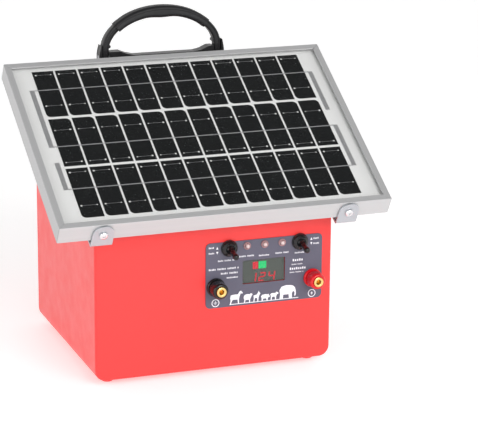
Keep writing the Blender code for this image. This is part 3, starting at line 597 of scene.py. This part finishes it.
def line_height(row, share):
    """A line's place in a row, share of the cell's length from its upper end as the front row lies."""
    if turned_round(row):
        return row_low(row) + share * CELL_LENGTH
    return row_low(row) + (1 - share) * CELL_LENGTH


def build_cell_laminate(surfaces):
    """White sheet, cells, ribbons and solder dots, all behind the glass."""
    bm = bmesh.new()
    inset = RIM + GAP
    half = PANEL_WIDTH / 2 - inset
    sheet = rectangle(-half, inset, half, PANEL_LENGTH - inset, (SHEET_CORNER,) * 4, 2)
    add_prism(bm, sheet, SHEET_Z - SHEET_THICK, SHEET_Z)
    piece("backsheet", bm, surfaces["backsheet"], place=PANEL, stands_for=["cell_sheet"])
    bm = bmesh.new()
    for row in range(ROWS):
        for column in range(COLUMNS):
            add_cell(bm, column_left(column), row_low(row), turned_round(row))
    piece("solar_cells", bm, surfaces["cell"], place=PANEL)
    bm, dots = bmesh.new(), bmesh.new()
    for row in range(ROWS):
        add_main_ribbon(bm, row)
        for column in range(COLUMNS):
            add_cell_marks(bm, dots, column_left(column), row)
    piece("cell_ribbons", bm, surfaces["ribbon"], place=PANEL)
    piece("solder_dots", dots, surfaces["solder"], place=PANEL)
    bm = bmesh.new()
    for x0, y0, y1 in bus_runs():
        add_prism(bm, rectangle(x0, y0, x0 + BUS_WIDTH, y1, SQUARE), SHEET_Z, CELL_TOP)
    piece("bus_ribbons", bm, surfaces["ribbon"], place=PANEL)


def add_cell(bm, x, y, turned):
    radii = (0, CELL_CORNER, 0, 0) if turned else (0, 0, 0, CELL_CORNER)
    add_prism(bm, rectangle(x, y, x + CELL_WIDTH, y + CELL_LENGTH, radii, 4), CELL_BOTTOM, CELL_TOP)


def add_main_ribbon(bm, row):
    """The ribbon that joins a whole row, out to the bus ribbons on both sides."""
    y = line_height(row, MAIN)
    left = column_left(0) - BUS_OFFSET
    right = column_left(COLUMNS - 1) + CELL_WIDTH + BUS_OFFSET
    add_prism(bm, rectangle(left, y - RIBBON / 2, right, y + RIBBON / 2, SQUARE), CELL_TOP, RIBBON_TOP)


def add_cell_marks(bm, dots, x, row):
    """Two fine lines on a cell, each between two solder dots, the larger one first."""
    for share in (UPPER, LOWER):
        y = line_height(row, share)
        ends = [x + share_across * CELL_WIDTH for share_across in DOT_SHARES]
        outline = rectangle(ends[0], y - HAIRLINE / 2, ends[1], y + HAIRLINE / 2, SQUARE)
        add_prism(bm, outline, CELL_TOP, HAIRLINE_TOP)
        radii = reversed(DOT_RADII) if turned_round(row) else DOT_RADII
        for centre, radius in zip(ends, radii):
            dome = [(radius, CELL_TOP), (radius * 0.8, RIBBON_TOP), (0.0, DOT_TOP)]
            add_turned(dots, dome, (centre, y), 12)


def bus_runs():
    """(left edge, low end, high end) of the grey ribbons beside the cells."""
    left = column_left(0) - BUS_OFFSET - BUS_WIDTH
    right = column_left(COLUMNS - 1) + CELL_WIDTH + BUS_OFFSET
    front, centre, rear = (line_height(row, MAIN) for row in range(ROWS))
    edge = RIBBON / 2
    return [
        (left, centre - edge, rear + edge),
        (left, front - edge, row_low(1) + BUS_ABOVE),
        (right, front - edge, centre + edge),
        (right, row_low(2) - BUS_BELOW, rear + edge),
    ]


# ---------------------------------------------------------------- front controls

PLATE_Z = FRONT_Y - low("label_plate").y
INK_LOW, INK_HIGH = PLATE_Z + 0.01 * MM, PLATE_Z + 0.06 * MM
DASH_CORNER = 0.2 * MM
MARK_DROP = 17.2 * MM
GROUND_MM = 74.6
LIT_BACK, LIT_FRONT = -0.66 * MM, -0.52 * MM
DIGIT_LOW = 95.6 * MM
BAR_LOW, BAR_HIGH = 109.2 * MM, 116.9 * MM
BAR_GAP_MM = 0.15
BALL_MM, SOCKET_MM = 5.0, 5.3
TIP_RADIUS = 3.0 * MM


def build_print(surfaces):
    """Printed marks: bars where the wording was, arrows, post symbols and a row of animals."""
    bm = bmesh.new()
    for bar in text_bars():
        add_dashes(bm, *[value * MM for value in bar])
    for name, side, offset, rise in (("left", -1, 12.7, -1.6), ("right", 1, 12.9, -1.0)):
        place = middle(f"toggle_boot_{name}")
        for up in (1, -1):
            add_arrow(bm, place.x + side * offset * MM, place.z + (rise + 1.2 * up) * MM, up)
    build_post_marks(bm)
    for animal in animals():
        add_prism(bm, [(x * MM, y * MM) for x, y in animal], INK_LOW, INK_HIGH)
    piece("label_print", bm, surfaces["ink"], place=FRONT)


def text_bars():
    """(left, right, middle height, bar height, dash length) of each line of print, in mm."""
    return [
        (-7.4, -1.4, 136.6, 2.0, 1.5), (-7.4, -1.2, 130.8, 2.0, 1.2),
        (106.9, 112.9, 136.6, 2.0, 1.5), (106.9, 113.5, 131.2, 2.0, 1.2),
        (2.6, 20.6, 122.0, 1.9, 1.1), (25.6, 42.0, 124.7, 1.9, 1.3),
        (47.0, 58.4, 123.8, 1.9, 1.2), (65.2, 79.8, 124.6, 1.9, 1.3),
        (86.4, 97.0, 122.9, 1.9, 1.2), (-7.2, 25.4, 113.4, 2.2, 1.4),
        (5.8, 24.4, 108.4, 2.2, 1.4), (12.2, 24.4, 103.4, 1.8, 1.3),
        (84.2, 96.2, 115.2, 2.8, 2.0), (83.2, 95.2, 110.6, 1.4, 1.0),
        (81.2, 99.4, 106.2, 2.8, 2.0), (81.2, 96.4, 102.2, 1.4, 1.0),
    ]


def add_dashes(bm, left, right, y, height, dash):
    """A line of upright dashes, two low ones after each tall one; a long line has spaces too."""
    count = max(3, round((right - left) / (dash * 1.1)))
    pitch = (right - left) / count
    filled = 0.58 * pitch
    for k in range(count):
        if count > 9 and k % 7 == 5:
            continue
        x = left + k * pitch
        shrink = 0.82 if k % 3 else 1.0
        top = y - height / 2 + 0.9 * height * shrink
        add_prism(bm, rectangle(x, y - height / 2, x + filled, top, (DASH_CORNER,) * 4, 2), INK_LOW, INK_HIGH)


def add_arrow(bm, x, y, up):
    half, tall = 1.2 * MM, 2.7 * MM
    add_prism(bm, [(x - half, y), (x + half, y), (x, y + up * tall)], INK_LOW, INK_HIGH)


def build_post_marks(bm):
    """A ring under each post: an earth mark in the left one, a spark in the right one."""
    y = middle("post_bush_black").z - MARK_DROP
    left, right = middle("post_bush_black").x, middle("post_bush_red").x
    outer, inner = 4.2 * MM, 3.4 * MM
    for x in (left, right):
        ring = [(outer, INK_LOW), (outer, INK_HIGH), (inner, INK_HIGH), (inner, INK_LOW)]
        add_turned(bm, ring, (x, y), 40, ring=True)
    bars = [(-1.9, 0.05, 1.9, 0.55), (-1.2, -0.95, 1.2, -0.45), (-0.5, -1.95, 0.5, -1.45)]
    stem = (-0.25, 0.6, 0.25, 2.4)
    for x0, y0, x1, y1 in [*bars, stem]:
        bar = rectangle(left + x0 * MM, y + y0 * MM, left + x1 * MM, y + y1 * MM, SQUARE)
        add_prism(bm, bar, INK_LOW, INK_HIGH)
    spark = [(0.5, 2.4), (-1.3, -0.3), (-0.1, -0.3), (-0.5, -2.4), (1.3, 0.5), (0.1, 0.5)]
    add_prism(bm, [(right + a * MM, y + b * MM) for a, b in spark], INK_LOW, INK_HIGH)


def animals():
    """Outlines, in mm on the plate, of the ground line and of six animals from a horse to an elephant."""
    horse = [
        (0, 0), (0.8, 3.6), (0.2, 6.2), (0.9, 9.3), (5.0, 9.9), (8.6, 9.8), (10.2, 12.4), (11.9, 13.6),
        (12.4, 12.7), (14.0, 10.9), (13.4, 10.1), (11.6, 10.7), (10.4, 7.2), (9.7, 4.4), (9.9, 0), (8.8, 0),
        (8.3, 4.3), (3.0, 4.4), (1.8, 2.4), (1.2, 0),
    ]
    sheep = [
        (0, 0), (0.4, 3.2), (-0.6, 5.2), (0.2, 7.8), (2.2, 8.8), (4.6, 8.9), (6.4, 8.4), (7.0, 9.5),
        (8.6, 9.1), (9.3, 7.8), (8.4, 7.3), (7.6, 5.4), (6.6, 3.2), (6.6, 0), (5.6, 0), (5.4, 2.8),
        (1.6, 2.8), (1.0, 0),
    ]
    goat = [
        (0, 0), (0.5, 4.0), (0.1, 6.9), (3.8, 7.8), (5.4, 10.0), (5.9, 12.2), (6.6, 10.3), (8.2, 8.9),
        (7.4, 8.1), (6.1, 5.0), (5.6, 0), (4.7, 0), (4.2, 4.0), (1.7, 3.9), (1.1, 0),
    ]
    pig = [
        (0, 0), (0.1, 3.0), (-0.7, 5.0), (0.8, 6.8), (4.6, 7.2), (7.2, 6.6), (7.9, 7.6), (8.4, 6.0),
        (9.7, 4.6), (9.2, 3.7), (7.3, 3.1), (6.9, 0), (5.8, 0), (5.4, 2.4), (1.9, 2.4), (1.2, 0),
    ]
    calf = [
        (0, 0), (0.3, 3.8), (-0.5, 6.6), (1.2, 7.6), (5.4, 7.4), (6.7, 8.9), (7.6, 8.2), (9.1, 7.2),
        (8.7, 6.1), (7.2, 5.9), (6.4, 3.4), (6.2, 0), (5.2, 0), (4.7, 3.4), (1.7, 3.4), (1.1, 0),
    ]
    elephant = [
        (0, 0), (0.6, 5.0), (-0.2, 9.5), (2.2, 13.2), (7.0, 14.5), (11.4, 14.2), (14.6, 13.6), (17.2, 11.4),
        (18.2, 8.0), (18.4, 3.4), (17.2, 1.4), (16.7, 2.6), (17.0, 6.0), (15.2, 7.4), (13.9, 5.2), (13.8, 0),
        (10.6, 0), (10.2, 4.3), (4.2, 4.3), (3.6, 0),
    ]
    line = [(15.4, GROUND_MM - 0.7), (91.0, GROUND_MM - 0.7), (91.0, GROUND_MM), (15.4, GROUND_MM)]
    herd = [(horse, 15.8, 1.0), (sheep, 31.2, 1.0), (goat, 41.4, 0.95), (pig, 50.4, 0.95), (calf, 60.4, 0.95),
            (elephant, 70.2, 0.98)]
    placed = [[(x0 + scale * x, GROUND_MM + 0.01 + scale * y) for x, y in shape] for shape, x0, scale in herd]
    return [line, *placed]


def build_display(surfaces):
    """Lit bars and three digits between the module and the smoked window."""
    bm = bmesh.new()
    for digit, x in (("1", 37.2), ("2", 47.0), ("4", 57.6)):
        add_digit(bm, digit, x * MM, DIGIT_LOW)
    piece("display_digits", bm, surfaces["red_segment"], place=FRONT)
    for name, left, right, count in (("red", 41.0, 46.9, 2), ("green", 47.4, 55.8, 3)):
        bm = bmesh.new()
        pitch = (right - left) / count
        for k in range(count):
            x0, x1 = (left + k * pitch) * MM, (left + (k + 1) * pitch - BAR_GAP_MM) * MM
            add_prism(bm, rectangle(x0, BAR_LOW, x1, BAR_HIGH, (DASH_CORNER,) * 4, 2), LIT_BACK, LIT_FRONT)
        piece(f"display_bar_{name}", bm, surfaces[f"{name}_segment"], place=FRONT)


def add_digit(bm, digit, x, y):
    """Seven segments on a slant, named clockwise from the top and then the middle one."""
    wide, tall, thick, slant = 7.2 * MM, 9.4 * MM, 1.35 * MM, 0.12
    half = tall / 2
    gap, corner = 0.15 * MM, 0.3 * MM
    corners = {
        "a": (thick, tall - thick, wide - thick, tall), "b": (wide - thick, half + gap, wide, tall - gap),
        "c": (wide - thick, gap, wide, half - gap), "d": (thick, 0.0, wide - thick, thick),
        "e": (0.0, gap, thick, half - gap), "f": (0.0, half + gap, thick, tall - gap),
        "g": (thick, half - thick / 2, wide - thick, half + thick / 2),
    }
    lit = {"1": "bc", "2": "abged", "4": "fgbc"}[digit]
    for name in lit:
        x0, y0, x1, y1 = corners[name]
        outline = [(x + a + slant * b, y + b) for a, b in rectangle(x0, y0, x1, y1, (corner,) * 4, 2)]
        add_prism(bm, outline, LIT_BACK, LIT_FRONT)


def build_toggles(surfaces):
    """Rubber boots with a moulded collar, and levers in their own sleeves."""
    for name in ("left", "right"):
        node = f"toggle_boot_{name}"
        reach = (FRONT_Y - low(node).y) / MM
        outer = [
            (6.2, 1.4), (8.8, 1.4), (8.8, 2.6), (8.65, 2.9), (8.25, 3.0), (8.1, 3.3), (8.25, 3.7),
            (8.15, 4.4), (7.8, 5.0), (7.3, 5.5), (6.6, 5.95), (5.9, 6.4), (5.3, reach),
        ]
        socket = [(r, 3.5 + z) for r, z in ball_points(SOCKET_MM, (38, 26, 13, 0))]
        profile = [(r * MM, z * MM) for r, z in [*outer, *socket, (6.1, 2.6)]]
        bm = bmesh.new()
        add_turned(bm, profile, (middle(node).x, middle(node).z), 56, ring=True)
        piece(f"boot_{name}", bm, surfaces["boot"], place=FRONT, stands_for=[node],
              edge=FINE_EDGE)
        build_lever(name, surfaces["boot"])


def ball_points(radius, angles):
    return [(radius * math.cos(math.radians(a)), radius * math.sin(math.radians(a))) for a in angles]


def build_lever(name, surface):
    """Ball root, ringed neck and a swollen tip, along the lever's own axis."""
    pivot = joint_place(f"{name}_toggle_tilt")
    lowest = low(f"toggle_lever_{name}")
    reach = pivot.y - lowest.y
    fall = pivot.z - (lowest.z + TIP_RADIUS)
    place = turned_frame(pivot, QUARTER_TURN + math.atan2(fall, reach))
    ball = ball_points(BALL_MM, (-20, -8, 4, 16, 28, 40, 50))
    sleeve = [
        (2.95, 4.55), (2.75, 5.6), (2.70, 7.0), (2.95, 7.5), (2.95, 8.0), (2.65, 8.5), (2.60, 10.0),
        (2.85, 10.5), (2.85, 11.0), (2.60, 11.5), (2.60, 13.6), (2.85, 15.4), (3.1, 17.0), (3.15, 18.4),
        (2.9, 19.8), (2.3, 20.8), (1.3, 21.35), (0.0, 21.5),
    ]
    profile = [(0.0, -1.7), *ball, *sleeve]
    bm = bmesh.new()
    add_turned(bm, [(r * MM, z * MM) for r, z in profile], sides=40)
    piece(f"lever_{name}", bm, surface, body=f"{name}_toggle", place=place,
          stands_for=[f"toggle_lever_{name}"])


def build_lamps(surfaces):
    """Indicator lamps: a bezel ring and a domed lens."""
    for name in ("left", "middle", "right"):
        place = middle(f"led_collar_{name}")
        centre = (place.x, place.z)
        bm = bmesh.new()
        bezel = [
            (3.0, -6.0), (3.0, 1.4), (4.0, 1.4), (4.0, 2.0), (3.85, 2.4), (3.5, 2.68), (3.0, 2.7),
            (2.75, 2.4), (2.6, 1.9), (2.6, -6.0),
        ]
        add_turned(bm, [(r * MM, z * MM) for r, z in bezel], centre, 40, ring=True)
        piece(f"bezel_{name}", bm, surfaces["bezel"], place=FRONT,
              stands_for=[f"led_collar_{name}"])
        bm = bmesh.new()
        dome = [(2.3 * x, 3.0 + 2.2 * y) for x, y in ball_points(1.0, range(0, 90, 12))]
        lens = [(0.0, -6.9), (2.3, -6.9), *dome, (0.0, 5.2)]
        add_turned(bm, [(r * MM, z * MM) for r, z in lens], centre, 32)
        piece(f"lamp_{name}", bm, surfaces["lamp"], place=FRONT, stands_for=[f"led_lamp_{name}"])


def fluted(count, depth, from_z, to_z):
    """Grooves round a knob between two heights."""
    def factor(angle, z):
        if from_z <= z <= to_z:
            return 1.0 - depth * (0.5 + 0.5 * math.cos(count * angle)) ** 3
        return 1.0
    return factor


def build_posts(surfaces):
    """Binding posts: bush, fluted knob and brass insert."""
    for name, slot in (("black", "post_black"), ("red", "red_plastic")):
        plastic = surfaces[f"post_{name}"]
        place = middle(f"post_bush_{name}")
        centre = (place.x, place.z)
        body = f"{name}_knob"
        bm = bmesh.new()
        bush = [
            (2.5, -5.0), (5.0, -5.0), (5.0, 1.4), (9.4, 1.4), (9.8, 1.8), (9.8, 3.2), (9.5, 4.0), (8.8, 4.6),
            (2.5, 4.6),
        ]
        add_turned(bm, [(r * MM, z * MM) for r, z in bush], centre, 56, ring=True)
        piece(f"bush_{name}", bm, plastic, place=FRONT, stands_for=[f"post_bush_{name}"])
        bm = bmesh.new()
        knob = [
            (5.5, 7.4), (4.6, 6.2), (7.8, 6.2), (8.3, 6.45), (8.6, 7.0), (8.6, 7.3), (8.6, 7.6), (8.6, 9.4),
            (8.6, 11.2), (8.6, 11.5), (8.5, 12.2), (8.5, 14.0), (8.4, 16.2), (8.1, 17.4), (7.4, 18.4),
            (6.7, 18.85), (6.1, 18.9), (5.5, 18.6),
        ]
        flutes = fluted(24, 0.07, 7.5 * MM, 11.3 * MM)
        add_turned(bm, [(r * MM, z * MM) for r, z in knob], centre, 144, ring=True, flute=flutes)
        piece(f"knob_{name}", bm, plastic, body=body, place=FRONT,
              stands_for=[f"post_knob_{name}"])
        bm = bmesh.new()
        insert = [
            (2.3, 7.8), (5.2, 7.8), (5.2, 19.9), (5.05, 20.25), (4.75, 20.45), (4.3, 20.5), (3.3, 20.5),
            (3.0, 20.42), (2.65, 20.1), (2.35, 19.6), (2.3, 19.2),
        ]
        add_turned(bm, [(r * MM, z * MM) for r, z in insert], centre, 56, ring=True)
        piece(f"insert_{name}", bm, surfaces["brass"], body=body, place=FRONT,
              stands_for=[f"post_insert_{name}"])


# ---------------------------------------------------------------- screws

def add_phillips(bm, depth, width, matrix):
    """A cross recess: two thin tapering wedges."""
    for turn in (0.0, math.pi / 2):
        turned = matrix @ Matrix.Rotation(turn, 4, "Z")
        rings = []
        for share, half_long in ((0.0, width * 0.35), (1.0, width)):
            thick = width * (0.16 + 0.06 * share)
            z = -depth + depth * 1.3 * share
            corners = ((-half_long, -thick), (half_long, -thick), (half_long, thick), (-half_long, thick))
            rings.append([turned @ Vector((x, y, z)) for x, y in corners])
        add_loft(bm, rings)


def pan_head(name, place, radius, height, shank, reach, surface, stands_for=()):
    """A pan-head screw with a cross recess, its seat at z = 0 and its shank downwards."""
    tail = [(0.0, -reach), (shank * 0.7, -reach), (shank, -reach + shank * 0.4), (shank, 0.0)]
    crown = [(0.97, 0.0), (1.0, 0.12), (1.0, 0.35), (0.93, 0.62), (0.78, 0.84), (0.5, 0.97), (0.0, 1.0)]
    bm = bmesh.new()
    add_turned(bm, [*tail, *[(radius * r, height * z) for r, z in crown]], sides=36)
    made = piece(name, bm, surface, place=place, stands_for=stands_for)
    recess = bmesh.new()
    add_phillips(recess, height * 0.5, radius * 0.42, Matrix.Translation((0.0, 0.0, height)))
    carve(made, recess)


def build_panel_screws(surfaces):
    """Four screws through straps and rails; the heads face outwards along the slope."""
    radius, height, shank, inside = 4.4 * MM, 2.5 * MM, 2.0 * MM, 6.0 * MM
    front_seat = 2.6 * MM
    steel = surfaces["steel"]
    places = {"front": (-front_seat, front_seat, 1), "rear": (PANEL_LENGTH + GAP, GAP, -1)}
    for end, (along, seat, turns) in places.items():
        for side, degrees in (("left", 18), ("right", 40)):
            node = f"panel_screw_{end}_{side}"
            centre = panel_middle(node)
            turn = Matrix.Rotation(turns * QUARTER_TURN, 4, "X")
            spin = Matrix.Rotation(math.radians(degrees), 4, "Z")
            place = PANEL @ Matrix.Translation((centre.x, along, centre.z)) @ turn @ spin
            pan_head(f"screw_{end}_{side}", place, radius, height, shank, seat + inside, steel, [node])


def panel_middle(node):
    """The middle of a node's extent in the panel's own frame."""
    inverse = PANEL.inverted()
    points = [inverse @ v.co for v in frame["nodes"][node].data.vertices]
    lowest = Vector([min(p[k] for p in points) for k in range(3)])
    highest = Vector([max(p[k] for p in points) for k in range(3)])
    return (lowest + highest) / 2


def build_cover_screws(surfaces):
    """Six pan-head screws that hold the rear cover."""
    radius, height, shank, reach = 3.4 * MM, 1.7 * MM, 1.4 * MM, 1.2 * MM
    top = high("rear_cover").z
    across = high("rear_cover").x - 7 * MM
    for side, column in (("right", -1), ("left", 1)):
        for row, z in enumerate((18 * MM, 0.5 * top, top - 12 * MM)):
            spin = Matrix.Rotation(math.radians(25 + 50 * row + 20 * column), 4, "Z")
            place = REAR @ Matrix.Translation((column * across, z, 0.05 * MM)) @ spin
            pan_head(f"cover_screw_{side}_{row}", place, radius, height, shank, reach, surfaces["steel"])


# ---------------------------------------------------------------- handle

ARCH_HALF, ARCH_RISE, ARCH_CENTRE = 62.9 * MM, 40.4 * MM, 6.6 * MM
LEG_THICK, LEG_DEEP = 7.4 * MM, 10.8 * MM
LEG_LOW = -5.8 * MM
LEG_CORNER = 1.7 * MM
CORE_THICK, CORE_DEEP, CORE_CORNER = 6.0 * MM, 9.0 * MM, 2.0 * MM
BORE_RADIUS, BORE_REACH = 2.5 * MM, 9.0 * MM
RIB_COUNT, RIB_LOW, RIB_PITCH, RIB_WIDTH = 9, -3.6 * MM, 1.5 * MM, 0.7 * MM
GRIP_START = 37.0
GRIP_THICK, GRIP_DEEP, GRIP_CORNER = 10.9 * MM, 15.2 * MM, 4.0 * MM
HOLLOW_THICK, HOLLOW_DEEP, HOLLOW_CORNER = 6.6 * MM, 9.6 * MM, 2.3 * MM


def arch_line(angles):
    """Points and outward directions of the arch's centre line at angles of its ellipse, in degrees."""
    line = []
    for angle in angles:
        x, y = math.cos(math.radians(angle)), math.sin(math.radians(angle))
        point = Vector((ARCH_HALF * x, ARCH_CENTRE + ARCH_RISE * y))
        line.append((point, Vector((x / ARCH_HALF, y / ARCH_RISE)).normalized()))
    return line


def spread(first, last, steps):
    return [first + (last - first) * k / steps for k in range(steps + 1)]


def sweep(line, section):
    """Carries a section of (outwards, depth) points along a line."""
    return [[(p.x + out.x * n, p.y + out.y * n, depth) for n, depth in section] for p, out in line]


def rounded_section(thick, deep, radius, steps):
    return rectangle(-thick / 2, -deep / 2, thick / 2, deep / 2, (radius,) * 4, steps)


def leg_section():
    """Round edges, and a wide shallow groove in the front and back faces."""
    half, deep, depth = LEG_THICK / 2, LEG_DEEP / 2, 0.7 * MM
    edges = rounded_section(LEG_THICK, LEG_DEEP, LEG_CORNER, 4)
    outer_slope = [(half - 2.0 * MM, 0.0), (half - 2.5 * MM, depth)]
    inner_slope = [(2.3 * MM - half, depth), (1.8 * MM - half, 0.0)]
    groove = outer_slope + inner_slope
    back = [(n, deep - inward) for n, inward in groove]
    front = [(n, inward - deep) for n, inward in reversed(groove)]
    count = len(edges) // 2
    return [*edges[:count], *back, *edges[count:], *front]


def build_arch(surfaces):
    """The arch: grooved legs, and a thinner plain core under the grip."""
    legs = leg_section()
    core = rounded_section(CORE_THICK, CORE_DEEP, CORE_CORNER, (len(legs) - 4) // 4)
    step = GRIP_START - 0.5
    right, left = [(Vector((side * ARCH_HALF, LEG_LOW)), Vector((side, 0.0))) for side in (1, -1)]
    rings = sweep([right, *arch_line(spread(0, step, 20))], legs)
    rings += sweep(arch_line(spread(step, 180 - step, 48)), core)
    rings += sweep([*arch_line(spread(180 - step, 180, 20)), left], legs)
    bm = bmesh.new()
    add_loft(bm, rings)
    made = piece("arch", bm, surfaces["plastic"], body="handle", place=HANDLE,
                 stands_for=["handle_arch"])
    bores = bmesh.new()
    for side in (-1, 1):
        matrix = Matrix.Translation((side * ARCH_HALF, 0.0, 0.0)) @ Matrix.Rotation(QUARTER_TURN, 4, "Y")
        add_turned(bores, [(BORE_RADIUS, -BORE_REACH), (BORE_RADIUS, BORE_REACH)], sides=32, matrix=matrix)
    carve(made, bores)
    build_leg_ribs(surfaces)


def build_leg_ribs(surfaces):
    """Fine ribs across the front of both legs near the pins, and the lug that ends them on the inner side."""
    bm = bmesh.new()
    inner = ARCH_HALF - LEG_THICK / 2
    for side in (-1, 1):
        x0, x1 = sorted((side * (inner + 1.0 * MM), side * (inner + 5.4 * MM)))
        for k in range(RIB_COUNT):
            y = RIB_LOW + RIB_PITCH * k
            add_box(bm, (x0, y, LEG_DEEP / 2 - 0.8 * MM), (x1, y + RIB_WIDTH, LEG_DEEP / 2 - 0.05 * MM))
        lug = [(inner + 0.4 * MM, 9.4 * MM), (inner - 1.9 * MM, 10.2 * MM), (inner - 2.1 * MM, 12.4 * MM),
               (inner + 0.2 * MM, 14.0 * MM)]
        add_prism(bm, [(side * x, y) for x, y in lug], -LEG_DEEP * 0.42, LEG_DEEP * 0.42)
    piece("arch_ribs", bm, surfaces["plastic"], body="handle", place=HANDLE,
          edge=FINE_EDGE)


def build_grip(surfaces):
    """Moulded sleeve: a groove along each face, and a swell in the middle of its under side."""
    angles = spread(GRIP_START, 180 - GRIP_START, 96)
    outer = [sweep([place], grip_section(angle))[0] for angle, place in zip(angles, arch_line(angles))]
    hollow = rounded_section(HOLLOW_THICK, HOLLOW_DEEP, HOLLOW_CORNER, len(outer[0]) // 4 - 1)
    inner = sweep(arch_line(angles), hollow)
    bm = bmesh.new()
    shells = [[[bm.verts.new(point) for point in ring] for ring in rings] for rings in (outer, inner)]
    for rows in shells:
        for one, two in zip(rows, rows[1:]):
            join_rows(bm, one, two)
    for end in (0, -1):
        join_rows(bm, shells[0][end], shells[1][end])
    piece("grip", bm, surfaces["grip"], body="handle", place=HANDLE,
          stands_for=["handle_grip"])


def grip_section(angle):
    """The sleeve's outline at one place: it swells under the middle, thins to its ends, and is grooved."""
    away = abs(angle - 90)
    swell = 1.9 * MM * math.exp(-((away / 11.5) ** 2))
    slim = 0.8 * MM * min(1.0, away / 45.0) ** 3
    groove_depth, groove_middle, groove_width = 0.9 * MM, 0.6 * MM, 1.1 * MM
    points = []
    for n, d in rounded_section(GRIP_THICK, GRIP_DEEP, GRIP_CORNER, 12):
        if n < 0:
            n -= swell
        else:
            n -= slim * min(1.0, n / GRIP_CORNER)
        face = min(1.0, abs(d) / (GRIP_DEEP / 2))
        dip = groove_depth * math.exp(-(((n - groove_middle) / groove_width) ** 2)) * face ** 4
        points.append((n, d - math.copysign(dip, d)))
    return points


# ---------------------------------------------------------------- room, light, camera

WHITE = (1.0, 1.0, 1.0, 1.0)
FLOOR_RADIUS = 9.0
FLOOR_DROP = 0.2 * MM
CAMERA_PLACE = (-0.70555, -2.06644, 0.77012)
CAMERA_YAW, CAMERA_PITCH, CAMERA_ROLL = 0.35395, 0.27844, 0.00887
FOCAL_LENGTH, SENSOR_WIDTH = 162.97, 36.0


def build_room():
    """A pale floor that the object stands on, lit from within so that it stays near white."""
    floor_surface = Surface("pale_floor", (0.86, 0.86, 0.86), 0.6, Emission_Strength=0.42)
    floor_surface.shader.inputs["Emission Color"].default_value = WHITE
    floor_surface.vary_colour(floor_surface.noise(3.0), 0.985, 1.015)
    bm = bmesh.new()
    bmesh.ops.create_circle(bm, cap_ends=True, segments=96, radius=FLOOR_RADIUS)
    mesh = bpy.data.meshes.new("studio_floor")
    bm.to_mesh(mesh)
    bm.free()
    mesh.materials.append(floor_surface.material)
    floor = bpy.data.objects.new("studio_floor", mesh)
    bpy.context.scene.collection.objects.link(floor)
    floor.location.z = -FLOOR_DROP


def add_light(name, place, target, size, power):
    data = bpy.data.lights.new(name, "AREA")
    data.shape = "RECTANGLE"
    data.size, data.size_y = size
    data.energy = power
    made = bpy.data.objects.new(name, data)
    made.location = place
    made.rotation_euler = (Vector(target) - Vector(place)).to_track_quat("-Z", "Y").to_euler()
    bpy.context.scene.collection.objects.link(made)


def build_lights():
    """A white room with a dark ceiling, which the panel mirrors, and two large soft lamps."""
    world = bpy.data.worlds.new("studio_world")
    world.use_nodes = True
    nodes, links = world.node_tree.nodes, world.node_tree.links
    direction = nodes.new("ShaderNodeTexCoord")
    split = nodes.new("ShaderNodeSeparateXYZ")
    fade = nodes.new("ShaderNodeMapRange")
    fade.interpolation_type = "SMOOTHSTEP"
    for name, number in (("From Min", 0.50), ("From Max", 0.80), ("To Min", 1.15), ("To Max", 0.16)):
        fade.inputs[name].default_value = number
    links.new(direction.outputs["Generated"], split.inputs["Vector"])
    links.new(split.outputs["Z"], fade.inputs["Value"])
    links.new(fade.outputs["Result"], nodes["Background"].inputs["Strength"])
    nodes["Background"].inputs["Color"].default_value = WHITE
    bpy.context.scene.world = world
    bpy.context.scene.view_settings.view_transform = "Standard"
    centre = (0.0, 0.0, 0.15)
    add_light("key", (0.3, -2.4, 1.3), centre, (1.6, 1.2), 38.0)
    add_light("left_wall", (-2.2, -0.6, 0.9), centre, (1.2, 1.4), 7.0)


def build_camera():
    """A long lens in front of the object, to its left and above it."""
    yaw, pitch, roll = CAMERA_YAW, CAMERA_PITCH, CAMERA_ROLL
    ahead = Vector((math.sin(yaw) * math.cos(pitch), math.cos(yaw) * math.cos(pitch), -math.sin(pitch)))
    level = Vector((math.cos(yaw), -math.sin(yaw), 0.0))
    lifted = level.cross(ahead)
    right = math.cos(roll) * level + math.sin(roll) * lifted
    up = -math.sin(roll) * level + math.cos(roll) * lifted
    data = bpy.data.cameras.new("camera")
    data.sensor_width = SENSOR_WIDTH
    data.lens = FOCAL_LENGTH
    made = bpy.data.objects.new("camera", data)
    matrix = Matrix((right, up, -ahead)).transposed().to_4x4()
    matrix.translation = CAMERA_PLACE
    made.matrix_world = matrix
    bpy.context.scene.collection.objects.link(made)
    bpy.context.scene.camera = made


def build_scene():
    build_camera()
    surfaces = make_surfaces()
    dress_nodes(surfaces)
    build_cell_laminate(surfaces)
    build_print(surfaces)
    build_display(surfaces)
    build_toggles(surfaces)
    build_lamps(surfaces)
    build_posts(surfaces)
    build_panel_screws(surfaces)
    build_cover_screws(surfaces)
    build_arch(surfaces)
    build_grip(surfaces)
    build_room()
    build_lights()


build_scene()
